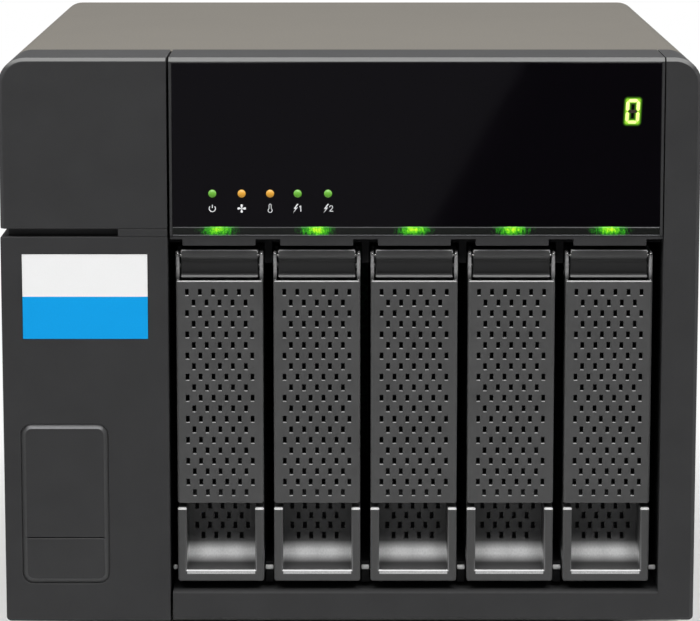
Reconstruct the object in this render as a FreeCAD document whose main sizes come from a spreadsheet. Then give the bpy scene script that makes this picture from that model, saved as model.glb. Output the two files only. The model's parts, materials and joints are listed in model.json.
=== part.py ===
import FreeCAD
import Part

import math
import os
import re

import Sketcher

# Five-bay disk shelf enclosure, millimetres, +Z up.
# The origin is midway across the width and the depth, on the plane that the feet stand on.
# The front faces -Y, and -X is on the left of somebody who looks at the front.

# ---------------------------------------------------------------------------
# Driving dimensions
# ---------------------------------------------------------------------------

DIMENSIONS = {
    # whole enclosure: its width and height are sums of the sizes below
    "body_depth": 235.4,
    "foot_height": 8.0,
    "foot_radius": 9.5,
    "foot_inset_side": 22.0,
    "foot_inset_front": 46.0,
    "foot_inset_rear": 32.0,
    # plastic front
    "bezel_depth": 28.0,
    "plastic_wall": 2.0,
    "bezel_corner": 8.1,
    "lower_corner": 1.4,
    "top_chamfer": 1.2,
    "front_round": 0.8,
    "column_width": 50.3,
    "right_column": 10.85,
    "seam": 0.75,
    "bottom_bar": 10.5,
    "slot_height": 2.5,
    "slot_drop": 0.7,
    "strip_length": 14.9,
    "slot_recess": 3.0,
    "fit_gap": 0.15,
    # band above the bays
    "comb_height": 3.05,
    "tab_drop": 1.95,
    "tab_width": 22.0,
    "comb_setback": 0.5,
    "comb_depth": 6.5,
    "strip_height": 2.85,
    "guide_depth": 10.0,
    "frame_side": 0.8,
    "frame_top": 1.4,
    "frame_rail": 2.0,
    "rail_clearance": 5.0,
    "guide_ease": 0.4,
    "glass": 2.0,
    "board_depth": 12.0,
    "board_sheet": 1.6,
    "board_margin": 3.0,
    "led_radius": 1.2,
    "led_pitch": 8.7,
    "led_inset": 12.8,
    "led_rise": 10.0,
    "digit_width": 9.0,
    "digit_height": 14.0,
    "digit_inset": 10.15,
    "digit_drop": 16.2,
    "digit_gap": 0.5,
    "drive_led": 2.0,
    # left column furniture
    "label_height": 26.0,
    "label_inset": 6.35,
    "label_margin": 6.05,
    "label_drop": 5.15,
    "label_sheet": 0.15,
    "recess_width": 26.6,
    "recess_height": 49.7,
    "recess_inset": 5.2,
    "recess_rise": 11.8,
    "recess_corner": 3.3,
    "recess_bevel": 1.45,
    "plate_sheet": 1.5,
    "plate_split": 14.3,
    "plate_gap": 0.4,
    # metal case
    "case_sheet": 1.0,
    "case_inset": 0.4,
    "case_clearance": 0.75,
    "case_corner": 6.7,
    "base_sheet": 1.2,
    "flange": 11.0,
    "base_vent_width": 2.5,
    "base_vent_length": 46.0,
    "base_vent_pitch": 7.0,
    "base_vent_start": 50.0,
    "rear_recess": 3.0,
    # drive bays
    "bay_gap": 3.16,
    "bay_margin": 2.35,
    "bay_end": 2.96,
    "cage_gap": 0.1,
    "rib_width": 2.4,
    "rib_height": 6.4,
    "tray_side": 0.2,
    "tray_lift": 1.5,
    "tray_headroom": 1.6,
    "face_margin": 1.0,
    "face_setback": 2.0,
    "face_back": 17.5,
    "face_wall": 1.5,
    "post_width": 2.65,
    "face_round": 0.8,
    "post_height": 23.0,
    "lip_height": 3.5,
    "scoop_radius": 13.5,
    "handle_space": 6.5,
    "head_height": 8.7,
    "head_setback": 3.0,
    "head_recess": 5.0,
    "head_width": 23.4,
    "head_bar": 2.1,
    "head_step": 1.4,
    "head_ledge": 0.8,
    "ledge_inset": 0.4,
    "side_clear_front": 1.0,
    "side_clear_back": 5.4,
    "side_clear_drop": 1.6,
    "hollow_roof": 1.5,
    "window_width": 17.0,
    "window_height": 12.0,
    "window_pitch": 16.0,
    "window_rise": 28.0,
    "rail_sheet": 1.5,
    "rail_width": 24.0,
    "rail_slot": 34.0,
    "rail_slot_width": 14.0,
    "rail_slot_start": 10.0,
    "rail_slot_gap": 12.0,
    "rail_tail": 3.0,
    "rail_taper": 6.0,
    "rail_taper_side": 4.0,
    # 3.5 inch drive
    "drive_width": 101.6,
    "drive_length": 147.0,
    "drive_thickness": 26.1,
    "drive_gap": 0.3,
    "cage_tail": 2.0,
    "plug_length": 38.0,
    "plug_thickness": 5.0,
    "plug_entry": 1.0,
    "plug_clearance": 0.5,
    "plug_rise": 12.0,
    # lever handle
    "handle_sheet": 1.2,
    "handle_gap": 1.55,
    "handle_top_gap": 0.6,
    "flange_sheet": 1.0,
    "bend_round": 0.8,
    "flange_depth": 5.8,
    "lip_depth": 3.4,
    "flange_taper": 14.0,
    "arm_shoulder": 0.9,
    "arm_back": 2.8,
    "arm_heel": 2.0,
    "arm_crest": 2.3,
    "arm_rise": 4.8,
    "arm_tip": 0.4,
    "arm_inset": 1.6,
    "pivot_depth": 7.6,
    "pivot_rise": 3.3,
    "pin_radius": 1.0,
    "pin_clearance": 0.05,
    "pin_inset": 0.2,
    # rear
    "fan_size": 120.0,
    "fan_depth": 25.0,
    "fan_wall": 3.0,
    "fan_corner": 5.0,
    "fan_hub": 40.0,
    "fan_plate": 3.0,
    "fan_strut": 4.0,
    "fan_tip_gap": 1.5,
    "blade_sheet": 1.4,
    "blade_edge_gap": 1.0,
    "blade_root": 2.0,
    "blade_root_slope": 0.7,
    "blade_tip_slope": 1.6,
    "fan_plate_gap": 0.5,
    "fan_back_gap": 1.0,
    "fan_lift": 0.8,
    "fan_clearance": 1.7,
    "guard_sheet": 1.2,
    "guard_ring": 2.4,
    "guard_reach": 2.0,
    "guard_stand": 0.8,
    "small_guard_sheet": 0.8,
    "small_guard_ring": 1.6,
    "small_guard_reach": 1.0,
    "supply_length": 150.0,
    "supply_inset": 5.2,
    "supply_lift": 6.4,
    "supply_lip": 1.3,
    "supply_wall": 2.75,
    "supply_edge": 4.0,
    "supply_end": 6.7,
    "supply_headroom": 8.8,
    "bracket_inset": 2.0,
    "bracket_foot": 9.0,
    "bracket_length": 56.0,
    "bracket_setback": 4.0,
    "small_fan_bore": 35.0,
    "small_fan_hub": 16.0,
    "small_fan_depth": 14.0,
    "small_fan_tip_gap": 0.8,
    "small_fan_back_gap": 2.5,
    "inlet_width": 24.2,
    "inlet_height": 16.6,
    "inlet_flange": 2.4,
    "inlet_flange_sheet": 0.8,
    "inlet_depth": 20.0,
    "inlet_wall": 1.0,
    "inlet_cut": 4.0,
    "inlet_cup": 16.0,
    "inlet_pin_drop": 5.0,
    "inlet_gap": 6.9,
    "rocker_width": 9.0,
    "rocker_height": 14.6,
    "rocker_depth": 7.0,
    "rocker_foot": 2.4,
    "rocker_side_gap": 0.4,
    "rocker_end_gap": 0.6,
    "rocker_back_gap": 2.5,
    "rocker_gap": 3.3,
    "backplane_gap": 2.7,
    "backplane_margin": 1.0,
    "air_width": 18.0,
    "air_rise": 8.0,
    "air_margin": 7.8,
    "main_board_rise": 16.0,
    "main_board_height": 96.0,
    "main_board_length": 150.0,
    "main_board_gap": 1.0,
    "standoff_height": 4.0,
    "standoff_radius": 2.5,
    "standoff_inset": 6.0,
    "standoff_setback": 8.0,
    "port_width": 9.2,
    "port_height": 3.6,
    "port_depth": 11.0,
    "port_wall": 0.4,
    "port_tongue": 0.8,
    "port_tongue_side": 1.6,
    "port_proud": 0.6,
    "port_pitch": 18.0,
    "port_drop": 36.0,
    "vent_inset": 12.0,
    "vent_width": 26.0,
    "vent_height": 2.0,
    "vent_pitch": 6.0,
    "vent_drop": 15.0,
    "lock_inset": 16.0,
    "lock_rise": 26.0,
    "lock_width": 3.0,
    "lock_height": 7.0,
    "screw_radius": 3.0,
    "screw_inset": 7.5,
    "screw_drop": 9.5,
}

BAY_COUNT = 5
STATUS_LEDS = 5
PORT_COUNT = 2
VENT_COUNT = 7
BASE_VENT_COUNT = 17
FAN_BLADES = 7
SMALL_FAN_BLADES = 5

doc = FreeCAD.newDocument("DiskShelf")
sheet = doc.addObject("Spreadsheet::Sheet", "Dims")
for row, (alias, size) in enumerate(DIMENSIONS.items(), start=1):
    sheet.set(f"A{row}", alias)
    sheet.set(f"B{row}", str(size))
    sheet.setAlias(f"B{row}", alias)
doc.recompute()

WORD = re.compile(r"[A-Za-z_]\w*")


def formula(text):
    """Turns the dimension names in a text into references to the sheet."""
    return WORD.sub(lambda m: f"Dims.{m.group()}" if m.group() in DIMENSIONS else m.group(), str(text))


def value(text):
    """Works a text of dimension names out as a number."""
    return float(sheet.evalExpression(formula(text)))


# Sums of sizes that several pieces share, as texts of dimension names.
TRAY_WIDTH = "(drive_thickness + tray_side)"
BAY_PITCH = f"({TRAY_WIDTH} + bay_gap)"
FACE_HEIGHT = "(drive_width + face_margin)"
BAY_HEIGHT = f"(tray_lift + {FACE_HEIGHT} + tray_headroom)"
BAYS_WIDTH = f"(bay_margin + {BAY_PITCH} * {BAY_COUNT} - bay_gap + bay_end)"
BODY_WIDTH = f"(column_width + {BAYS_WIDTH} + right_column)"

# Planes and edges that several pieces share.
FRONT = "(0 - body_depth / 2)"
REAR = "(body_depth / 2)"
LEFT = f"(0 - {BODY_WIDTH} / 2)"
RIGHT = f"({BODY_WIDTH} / 2)"
BASE = "foot_height"
BASE_TOP = f"({BASE} + base_sheet)"
BEZEL_BACK = f"({FRONT} + bezel_depth)"
COLUMN_EDGE = f"({LEFT} + column_width)"
OPENING_LEFT = f"({COLUMN_EDGE} + seam)"
OPENING_RIGHT = f"({RIGHT} - right_column)"
OPENING_FLOOR = f"({BASE} + bottom_bar)"
TAB_LEVEL = f"({OPENING_FLOOR} + {BAY_HEIGHT})"
GUIDE_LEVEL = f"({TAB_LEVEL} + comb_height)"
WINDOW_LEVEL = f"({GUIDE_LEVEL} + strip_height)"
FRAME_RIGHT = f"({OPENING_RIGHT} - seam / 2)"
CAGE_FLOOR = OPENING_FLOOR
CAGE_CEILING = f"({TAB_LEVEL} + cage_gap)"

# The supply clears both the drive cage and the fan, and the top clears the supply.
FAN_BASE = f"({BASE_TOP} + fan_lift)"
FAN_BORE = "(fan_size - fan_wall * 2)"
FAN_Z = f"({FAN_BASE} + fan_size / 2)"
SUPPLY_BASE = f"max({CAGE_CEILING} + case_sheet + supply_lift; {FAN_BASE} + fan_size + fan_clearance)"
SUPPLY_Z = f"({SUPPLY_BASE} + supply_wall + small_fan_bore / 2)"
SUPPLY_TOP = f"({SUPPLY_BASE} + supply_wall * 2 + small_fan_bore)"
TOP = f"({SUPPLY_TOP} + supply_headroom)"

SLOT_TOP = f"({WINDOW_LEVEL} - slot_drop)"
SLOT_FLOOR = f"({SLOT_TOP} - slot_height)"
SLOT_END = f"({COLUMN_EDGE} - strip_length)"
BOARD_FRONT = f"({FRONT} + board_depth)"
TRAY_BASE = f"({OPENING_FLOOR} + tray_lift)"
TRAY_TOP = f"({TRAY_BASE} + {FACE_HEIGHT})"
HEAD_BASE = f"({TRAY_TOP} - head_height)"
FACE_FRONT = f"({FRONT} + face_setback)"
FACE_BACK = f"({FRONT} + face_back)"
HANDLE_BACK = f"({FACE_FRONT} + handle_space)"
HANDLE_BASE = f"({TRAY_BASE} + post_height + handle_gap)"
HANDLE_TOP = f"({HEAD_BASE} - handle_top_gap)"
LIP_LEVEL = f"({TRAY_BASE} + lip_height)"
PIVOT_Y = f"({FRONT} + pivot_depth)"
PIVOT_Z = f"({HEAD_BASE} + pivot_rise)"
DRIVE_FRONT = f"({FACE_BACK} + drive_gap)"
DRIVE_BACK = f"({DRIVE_FRONT} + drive_length)"
DRIVE_BASE = f"({TRAY_BASE} + face_margin / 2)"
DRIVE_TOP = f"({DRIVE_BASE} + drive_width)"
PLUG_BASE = f"({DRIVE_BASE} + plug_rise)"
PLUG_TOP = f"({PLUG_BASE} + plug_length)"
CAGE_BACK = f"({DRIVE_BACK} + cage_tail)"
BACKPLANE = f"({DRIVE_BACK} + backplane_gap)"
CASE_LEFT = f"({LEFT} + case_inset)"
CASE_RIGHT = f"({RIGHT} - case_inset)"
CASE_TOP = f"({TOP} - case_inset)"
CASE_BACK = f"({REAR} - rear_recess)"
PANEL_FRONT = f"({CASE_BACK} - case_sheet)"
BAYS_MIDDLE = f"({COLUMN_EDGE} + bay_margin + {TRAY_WIDTH} / 2 + {BAY_PITCH} * {(BAY_COUNT - 1) / 2})"

# The supply's back, from left to right: small fan, switch and inlet.
SUPPLY_LEFT = f"({OPENING_LEFT} + supply_inset)"
SMALL_FAN_X = f"({SUPPLY_LEFT} + supply_edge + small_fan_bore / 2)"
ROCKER_X = f"({SMALL_FAN_X} + small_fan_bore / 2 + rocker_gap + rocker_width / 2)"
INLET_X = f"({ROCKER_X} + rocker_width / 2 + inlet_gap + inlet_height / 2)"
SUPPLY_RIGHT = f"({INLET_X} + inlet_height / 2 + supply_end)"
SUPPLY_FRONT = f"({PANEL_FRONT} - supply_length)"
INLET_BACK = f"({CASE_BACK} + inlet_flange_sheet)"

# The controller board and what the back panel opens for.
BOARD_LEFT = f"({COLUMN_EDGE} + fit_gap - case_sheet - standoff_height - board_sheet)"
MAIN_BOARD_BASE = f"({BASE_TOP} + main_board_rise)"
MAIN_BOARD_TOP = f"({MAIN_BOARD_BASE} + main_board_height)"
PORT_FLOORS = [f"({MAIN_BOARD_TOP} - port_drop + port_pitch * {step})" for step in range(PORT_COUNT)]


def bay_centre(index):
    """The middle of one bay across the width, as a text of dimension names."""
    return f"({COLUMN_EDGE} + bay_margin + {TRAY_WIDTH} / 2 + {BAY_PITCH} * {index})"


# ---------------------------------------------------------------------------
# Sketching and feature helpers
# ---------------------------------------------------------------------------

PLANES = {"top": "XY_Plane", "front": "XZ_Plane", "side": "YZ_Plane"}
# A sketch on the front plane looks along -Y, so its height above the plane is -y.
FACING = {"top": 1, "front": -1, "side": 1}


def bind(item, path, text):
    """Drives one property of a document object from the sheet."""
    item.setExpression(path, formula(text))


def origin_item(body, role):
    """One of the origin planes or axes of a body."""
    return next(item for item in body.Origin.OriginFeatures if item.Role == role)


def constrain(sketch, kind, *where_and_size):
    """Adds a constraint whose size, the last argument, is a text of dimension names."""
    *where, text = where_and_size
    number = sketch.addConstraint(Sketcher.Constraint(kind, *where, value(text)))
    bind(sketch, f"Constraints[{number}]", text)


def draw_outline(sketch, corners):
    """Draws a closed outline of straight runs through corners (u, v) or (u, v, radius).

    A corner with a radius has both of its runs along the sketch's axes.
    """
    spots = [(value(corner[0]), value(corner[1])) for corner in corners]
    ends = []
    for number, corner in enumerate(corners):
        u, v = corner[0], corner[1]
        if len(corner) == 2:
            ends.append([(u, v)])
            continue
        pair = []
        for other in (number - 1, (number + 1) % len(corners)):
            du = spots[other][0] - spots[number][0]
            dv = spots[other][1] - spots[number][1]
            if abs(du) > abs(dv):
                pair.append((f"{u} {'+' if du > 0 else '-'} ({corner[2]})", v))
            else:
                pair.append((u, f"{v} {'+' if dv > 0 else '-'} ({corner[2]})"))
        ends.append(pair)
    runs = []
    for number in range(len(corners)):
        start = ends[number][-1]
        end = ends[(number + 1) % len(corners)][0]
        line = Part.LineSegment(point(start), point(end))
        runs.append(sketch.addGeometry(line, False))
        for spot, place in ((1, start), (2, end)):
            shared = spot == 1 and len(ends[number]) == 1 and number > 0
            shared = shared or (spot == 2 and number == len(corners) - 1 and len(ends[0]) == 1)
            if not shared:
                constrain(sketch, "DistanceX", -1, 1, runs[-1], spot, place[0])
                constrain(sketch, "DistanceY", -1, 1, runs[-1], spot, place[1])
    for number, corner in enumerate(corners):
        before, after = runs[number - 1], runs[number]
        if len(corner) == 2:
            sketch.addConstraint(Sketcher.Constraint("Coincident", before, 2, after, 1))
            continue
        draw_corner(sketch, ends[number], spots[number], before, after, corner[2])


def draw_corner(sketch, pair, spot, before, after, radius):
    """Draws the quarter circle between two runs of an outline, hollow side inwards."""
    first, last = point(pair[0]), point(pair[1])
    corner = FreeCAD.Vector(spot[0], spot[1], 0)
    centre = first + last - corner
    middle = centre + (corner - centre).normalize() * value(radius)
    arc = Part.ArcOfCircle(first, middle, last)
    number = sketch.addGeometry(arc, False)
    starts_first = (arc.StartPoint - first).Length < 1e-6
    start, end = (1, 2) if starts_first else (2, 1)
    sketch.addConstraint(Sketcher.Constraint("Coincident", before, 2, number, start))
    sketch.addConstraint(Sketcher.Constraint("Coincident", number, end, after, 1))
    constrain(sketch, "Radius", number, radius)


def point(pair):
    """A point of a sketch from two texts of dimension names."""
    return FreeCAD.Vector(value(pair[0]), value(pair[1]), 0)


def rectangle(left, low, right, high, radius=None):
    """The corners of an upright rectangle, all rounded alike or all sharp."""
    extra = () if radius is None else (radius,)
    return [(left, low, *extra), (right, low, *extra), (right, high, *extra), (left, high, *extra)]


def draw_circle(sketch, u, v, radius):
    """Draws a circle at (u, v)."""
    circle = Part.Circle(point((u, v)), FreeCAD.Vector(0, 0, 1), value(radius))
    number = sketch.addGeometry(circle, False)
    constrain(sketch, "DistanceX", -1, 1, number, 3, u)
    constrain(sketch, "DistanceY", -1, 1, number, 3, v)
    constrain(sketch, "Radius", number, radius)


class Piece:
    """One sub-part built as a PartDesign body from sketches on its own origin planes."""

    def __init__(self, label, shift="0"):
        self.body = doc.addObject("PartDesign::Body", label)
        self.body.Label = label
        self.count = 0
        if shift != "0":
            bind(self.body, "Placement.Base.x", shift)

    def add(self, kind, name):
        """Adds one feature to the body under a name of its own."""
        self.count += 1
        return self.body.newObject(kind, f"{self.body.Label}_{name}_{self.count}")

    def sketch(self, plane, level, outlines=(), circles=()):
        """Adds a sketch parallel to an origin plane, at a coordinate along its normal."""
        sketch = self.add("Sketcher::SketchObject", "sketch")
        sketch.AttachmentSupport = [(origin_item(self.body, PLANES[plane]), "")]
        sketch.MapMode = "FlatFace"
        sign = "" if FACING[plane] > 0 else "0 - "
        bind(sketch, "AttachmentOffset.Base.z", f"{sign}({level})")
        for corners in outlines:
            draw_outline(sketch, corners)
        for circle in circles:
            draw_circle(sketch, *circle)
        return sketch

    def pad(self, plane, near, far, outlines=(), circles=()):
        """Adds material between two coordinates, near being the smaller one."""
        level = near if FACING[plane] > 0 else far
        feature = self.add("PartDesign::Pad", "pad")
        feature.Profile = self.sketch(plane, level, outlines, circles)
        bind(feature, "Length", f"({far}) - ({near})")
        self.settle(feature, grows=True)
        return feature

    def pocket(self, plane, near, far, outlines=(), circles=()):
        """Takes material away between two coordinates, near being the smaller one."""
        level = far if FACING[plane] > 0 else near
        feature = self.add("PartDesign::Pocket", "pocket")
        feature.Profile = self.sketch(plane, level, outlines, circles)
        bind(feature, "Length", f"({far}) - ({near})")
        self.settle(feature, grows=False)
        return feature

    def repeat(self, feature, role, pitch, count, backwards=False):
        """Repeats one feature along an axis of the body."""
        pattern = self.add("PartDesign::LinearPattern", "pattern")
        pattern.Originals = [feature]
        pattern.Direction = (origin_item(self.body, role), [""])
        pattern.Reversed = backwards
        pattern.Occurrences = count
        bind(pattern, "Length", f"({pitch}) * {count - 1}")
        self.settle(pattern)
        return pattern

    def mirror(self, feature, plane):
        """Repeats one feature on the other side of an origin plane."""
        copy = self.add("PartDesign::Mirrored", "mirror")
        copy.Originals = [feature]
        copy.MirrorPlane = (origin_item(self.body, PLANES[plane]), [""])
        self.settle(copy)
        return copy

    def dress(self, kind, size, wanted):
        """Fillets or chamfers the edges that a test picks out."""
        before = self.body.Tip
        names = [f"Edge{n}" for n, edge in enumerate(before.Shape.Edges, start=1) if wanted(edge)]
        if not names:
            raise RuntimeError(f"{self.body.Label}: no edge to dress")
        feature = self.add(f"PartDesign::{kind}", kind.lower())
        feature.Base = (before, names)
        bind(feature, "Radius" if kind == "Fillet" else "Size", size)
        self.settle(feature)
        return feature

    def settle(self, feature, grows=None):
        """Makes a feature the tip and checks that it did what it was made for."""
        before = self.body.Shape.Volume if not self.body.Shape.isNull() else 0.0
        self.body.Tip = feature
        doc.recompute()
        change = self.body.Shape.Volume - before
        if grows is not None and (change > 0) != grows:
            raise RuntimeError(f"{feature.Name} changed the volume by {change:.3f}")


def along(axis, u=None, v=None, w=None, reach=0.05):
    """An edge test: straight along one axis, with its middle at the coordinates that are given."""
    direction = FreeCAD.Vector(axis == "x", axis == "y", axis == "z")
    targets = [None if text is None else value(text) for text in (u, v, w)]

    def wanted(edge):
        if edge.Curve.TypeId != "Part::GeomLine":
            return False
        if abs(edge.tangentAt(edge.FirstParameter).dot(direction)) < 0.999:
            return False
        middle = edge.CenterOfMass
        return all(t is None or abs(c - t) < reach for c, t in zip(middle, targets))

    return wanted


def box(name, low, high, shift="0"):
    """A Part box between two corners, each three texts of dimension names."""
    item = doc.addObject("Part::Box", name)
    item.Label = name
    for side, near, far in zip(("Length", "Width", "Height"), low, high):
        bind(item, side, f"({far}) - ({near})")
    for axis, near, extra in zip("xyz", low, (shift, "0", "0")):
        bind(item, f"Placement.Base.{axis}", f"({near}) + {extra}")
    return item


def cylinder(name, axis, start, radius, length):
    """A Part cylinder that runs from a start point along one axis."""
    item = doc.addObject("Part::Cylinder", name)
    item.Label = name
    turns = {"x": (0, 90, 0), "y": (0, 0, -90), "z": (0, 0, 0)}
    item.Placement.Rotation = FreeCAD.Rotation(*turns[axis])
    bind(item, "Radius", radius)
    bind(item, "Height", length)
    for letter, text in zip("xyz", start):
        bind(item, f"Placement.Base.{letter}", text)
    return item


def prism(name, axis, start, radius, length, sides):
    """A Part prism with a regular base that runs from a start point along one axis."""
    item = doc.addObject("Part::Prism", name)
    item.Label = name
    turns = {"x": (0, 90, 0), "y": (0, 0, -90), "z": (0, 0, 0)}
    item.Placement.Rotation = FreeCAD.Rotation(*turns[axis])
    item.Polygon = sides
    bind(item, "Circumradius", radius)
    bind(item, "Height", length)
    for letter, text in zip("xyz", start):
        bind(item, f"Placement.Base.{letter}", text)
    return item


def cut(name, base, *tools):
    """Takes Part shapes away from another."""
    tool = tools[0] if len(tools) == 1 else join(f"{name}_tools", *tools)
    item = doc.addObject("Part::Cut", name)
    item.Label = name
    item.Base = base
    item.Tool = tool
    return item


def join(name, *shapes):
    """Fuses Part shapes into one."""
    item = doc.addObject("Part::MultiFuse", name)
    item.Label = name
    item.Shapes = list(shapes)
    return item


def group(name, *shapes):
    """Keeps several alike solids together in one node."""
    item = doc.addObject("Part::Compound", name)
    item.Label = name
    item.Links = list(shapes)
    return item


SUBPARTS = []


def keep(item):
    """Lists a finished sub-part, whose label names its file."""
    SUBPARTS.append(item.body if isinstance(item, Piece) else item)
    return item


# ---------------------------------------------------------------------------
# Metal case
# ---------------------------------------------------------------------------

def make_top_cover():
    """The sheet that wraps the top and both sides behind the plastic front."""
    front = f"({BEZEL_BACK} + fit_gap)"
    cover = Piece("top_cover")
    outer = [
        (CASE_LEFT, BASE),
        (CASE_RIGHT, BASE),
        (CASE_RIGHT, CASE_TOP, "case_corner"),
        (CASE_LEFT, CASE_TOP, "case_corner"),
    ]
    cover.pad("front", front, CASE_BACK, [outer])
    inner = [
        (f"({CASE_LEFT} + case_sheet)", f"({BASE} - 1)"),
        (f"({CASE_RIGHT} - case_sheet)", f"({BASE} - 1)"),
        (f"({CASE_RIGHT} - case_sheet)", f"({CASE_TOP} - case_sheet)", "case_corner - case_sheet"),
        (f"({CASE_LEFT} + case_sheet)", f"({CASE_TOP} - case_sheet)", "case_corner - case_sheet"),
    ]
    cover.pocket("front", front, CASE_BACK, [inner])
    return keep(cover)


def make_chassis_base():
    """The bottom pan, with its two long edges bent up inside the cover."""
    left = f"({CASE_LEFT} + case_sheet)"
    right = f"({CASE_RIGHT} - case_sheet)"
    base = Piece("chassis_base")
    section = [
        (left, BASE),
        (right, BASE),
        (right, f"({BASE} + flange)"),
        (f"({right} - base_sheet)", f"({BASE} + flange)"),
        (f"({right} - base_sheet)", BASE_TOP),
        (f"({left} + base_sheet)", BASE_TOP),
        (f"({left} + base_sheet)", f"({BASE} + flange)"),
        (left, f"({BASE} + flange)"),
    ]
    base.pad("front", f"({BEZEL_BACK} + fit_gap)", CASE_BACK, [section])
    start = f"({BAYS_MIDDLE} - base_vent_pitch * {(BASE_VENT_COUNT - 1) / 2})"
    near = f"({FRONT} + base_vent_start)"
    vent = rectangle(f"({start} - base_vent_width / 2)", near,
                     f"({start} + base_vent_width / 2)", f"({near} + base_vent_length)")
    slot = base.pocket("top", BASE, BASE_TOP, [vent])
    base.repeat(slot, "X_Axis", "base_vent_pitch", BASE_VENT_COUNT)
    return keep(base)


def make_rear_panel():
    """The flat back, with the fan mouth, the supply window, the ports, vents and the lock slot."""
    left = f"({CASE_LEFT} + case_sheet)"
    right = f"({CASE_RIGHT} - case_sheet)"
    panel = Piece("rear_panel")
    outline = [
        (f"({left} + base_sheet)", BASE_TOP),
        (f"({right} - base_sheet)", BASE_TOP),
        (f"({right} - base_sheet)", f"({CASE_TOP} - case_sheet)", "case_corner - case_sheet"),
        (f"({left} + base_sheet)", f"({CASE_TOP} - case_sheet)", "case_corner - case_sheet"),
    ]
    panel.pad("front", PANEL_FRONT, CASE_BACK, [outline])
    panel.pocket("front", PANEL_FRONT, CASE_BACK, circles=[(BAYS_MIDDLE, FAN_Z, f"{FAN_BORE} / 2")])
    window = rectangle(f"({SUPPLY_LEFT} + supply_lip)", f"({SUPPLY_BASE} + supply_lip)",
                       f"({SUPPLY_RIGHT} - supply_lip)", f"({SUPPLY_TOP} - supply_lip)")
    panel.pocket("front", PANEL_FRONT, CASE_BACK, [window])
    ports = [rectangle(f"({BOARD_LEFT} - port_height - port_wall)", f"({low} - port_wall)",
                       f"({BOARD_LEFT} + port_wall)", f"({low} + port_width + port_wall)")
             for low in PORT_FLOORS]
    panel.pocket("front", PANEL_FRONT, CASE_BACK, ports)
    lock = rectangle(f"({LEFT} + lock_inset)", f"({BASE} + lock_rise)",
                     f"({LEFT} + lock_inset + lock_width)", f"({BASE} + lock_rise + lock_height)")
    panel.pocket("front", PANEL_FRONT, CASE_BACK, [lock])
    highest = f"({TOP} - vent_drop)"
    vent = rectangle(f"({LEFT} + vent_inset)", f"({highest} - vent_height)",
                     f"({LEFT} + vent_inset + vent_width)", highest)
    slot = panel.pocket("front", PANEL_FRONT, CASE_BACK, [vent])
    panel.repeat(slot, "Z_Axis", "vent_pitch", VENT_COUNT, backwards=True)
    return keep(panel)


def make_drive_cage():
    """The floor and ceiling that the drive trays run between, with the ribs that keep them apart."""
    cage = Piece("drive_cage")
    front = f"({FRONT} + comb_setback + comb_depth + fit_gap)"
    side_front = f"({BEZEL_BACK} + fit_gap)"
    left = f"({COLUMN_EDGE} + fit_gap)"
    right = f"({OPENING_RIGHT} - fit_gap)"
    roof = f"({CAGE_CEILING} + case_sheet)"
    cage.pad("top", f"({CAGE_FLOOR} - case_sheet)", CAGE_FLOOR,
             [rectangle(left, side_front, right, CAGE_BACK)])
    for near, far in ((f"({left} - case_sheet)", left), (right, f"({right} + case_sheet)")):
        side = [(side_front, BASE_TOP), (CAGE_BACK, BASE_TOP), (CAGE_BACK, roof), (side_front, roof)]
        cage.pad("side", near, far, [side])
    cage.pad("top", CAGE_CEILING, roof, [rectangle(left, front, right, CAGE_BACK)])
    middle = f"({bay_centre(0)} + {BAY_PITCH} / 2)"
    low_rib = rectangle(f"({middle} - rib_width / 2)", CAGE_FLOOR,
                        f"({middle} + rib_width / 2)", f"({CAGE_FLOOR} + rib_height)")
    high_rib = rectangle(f"({middle} - rib_width / 2)", f"({CAGE_CEILING} - rib_height)",
                         f"({middle} + rib_width / 2)", CAGE_CEILING)
    rib = cage.pad("front", front, CAGE_BACK, [low_rib, high_rib])
    cage.repeat(rib, "X_Axis", BAY_PITCH, BAY_COUNT - 1)
    return keep(cage)


def make_feet():
    """Four round rubber feet."""
    feet = []
    rows = (("front", f"({FRONT} + foot_inset_front)"), ("rear", f"({REAR} - foot_inset_rear)"))
    for side in ("-", "+"):
        for row, place in rows:
            name = f"foot_{row}_{'left' if side == '-' else 'right'}"
            across = f"(0 {side} ({BODY_WIDTH} / 2 - foot_inset_side))"
            feet.append(cylinder(name, "z", (across, place, "0"), "foot_radius", "foot_height"))
    return keep(group("rubber_feet", *feet))


def make_case_screws():
    """Thumbscrews that hold the back to the cover, and stand out as far as the cover is set in."""
    screws = []
    sides = (("left", f"({CASE_LEFT} + screw_inset)"), ("right", f"({CASE_RIGHT} - screw_inset)"))
    rows = (("low", f"({BASE} + flange + screw_inset)"), ("high", f"({CASE_TOP} - screw_drop)"))
    for side, edge in sides:
        for row, level in rows:
            screws.append(prism(f"thumbscrew_{side}_{row}", "y", (edge, CASE_BACK, level),
                                "screw_radius", "rear_recess", 12))
    return keep(group("case_screws", *screws))


# ---------------------------------------------------------------------------
# Plastic front
# ---------------------------------------------------------------------------

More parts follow.
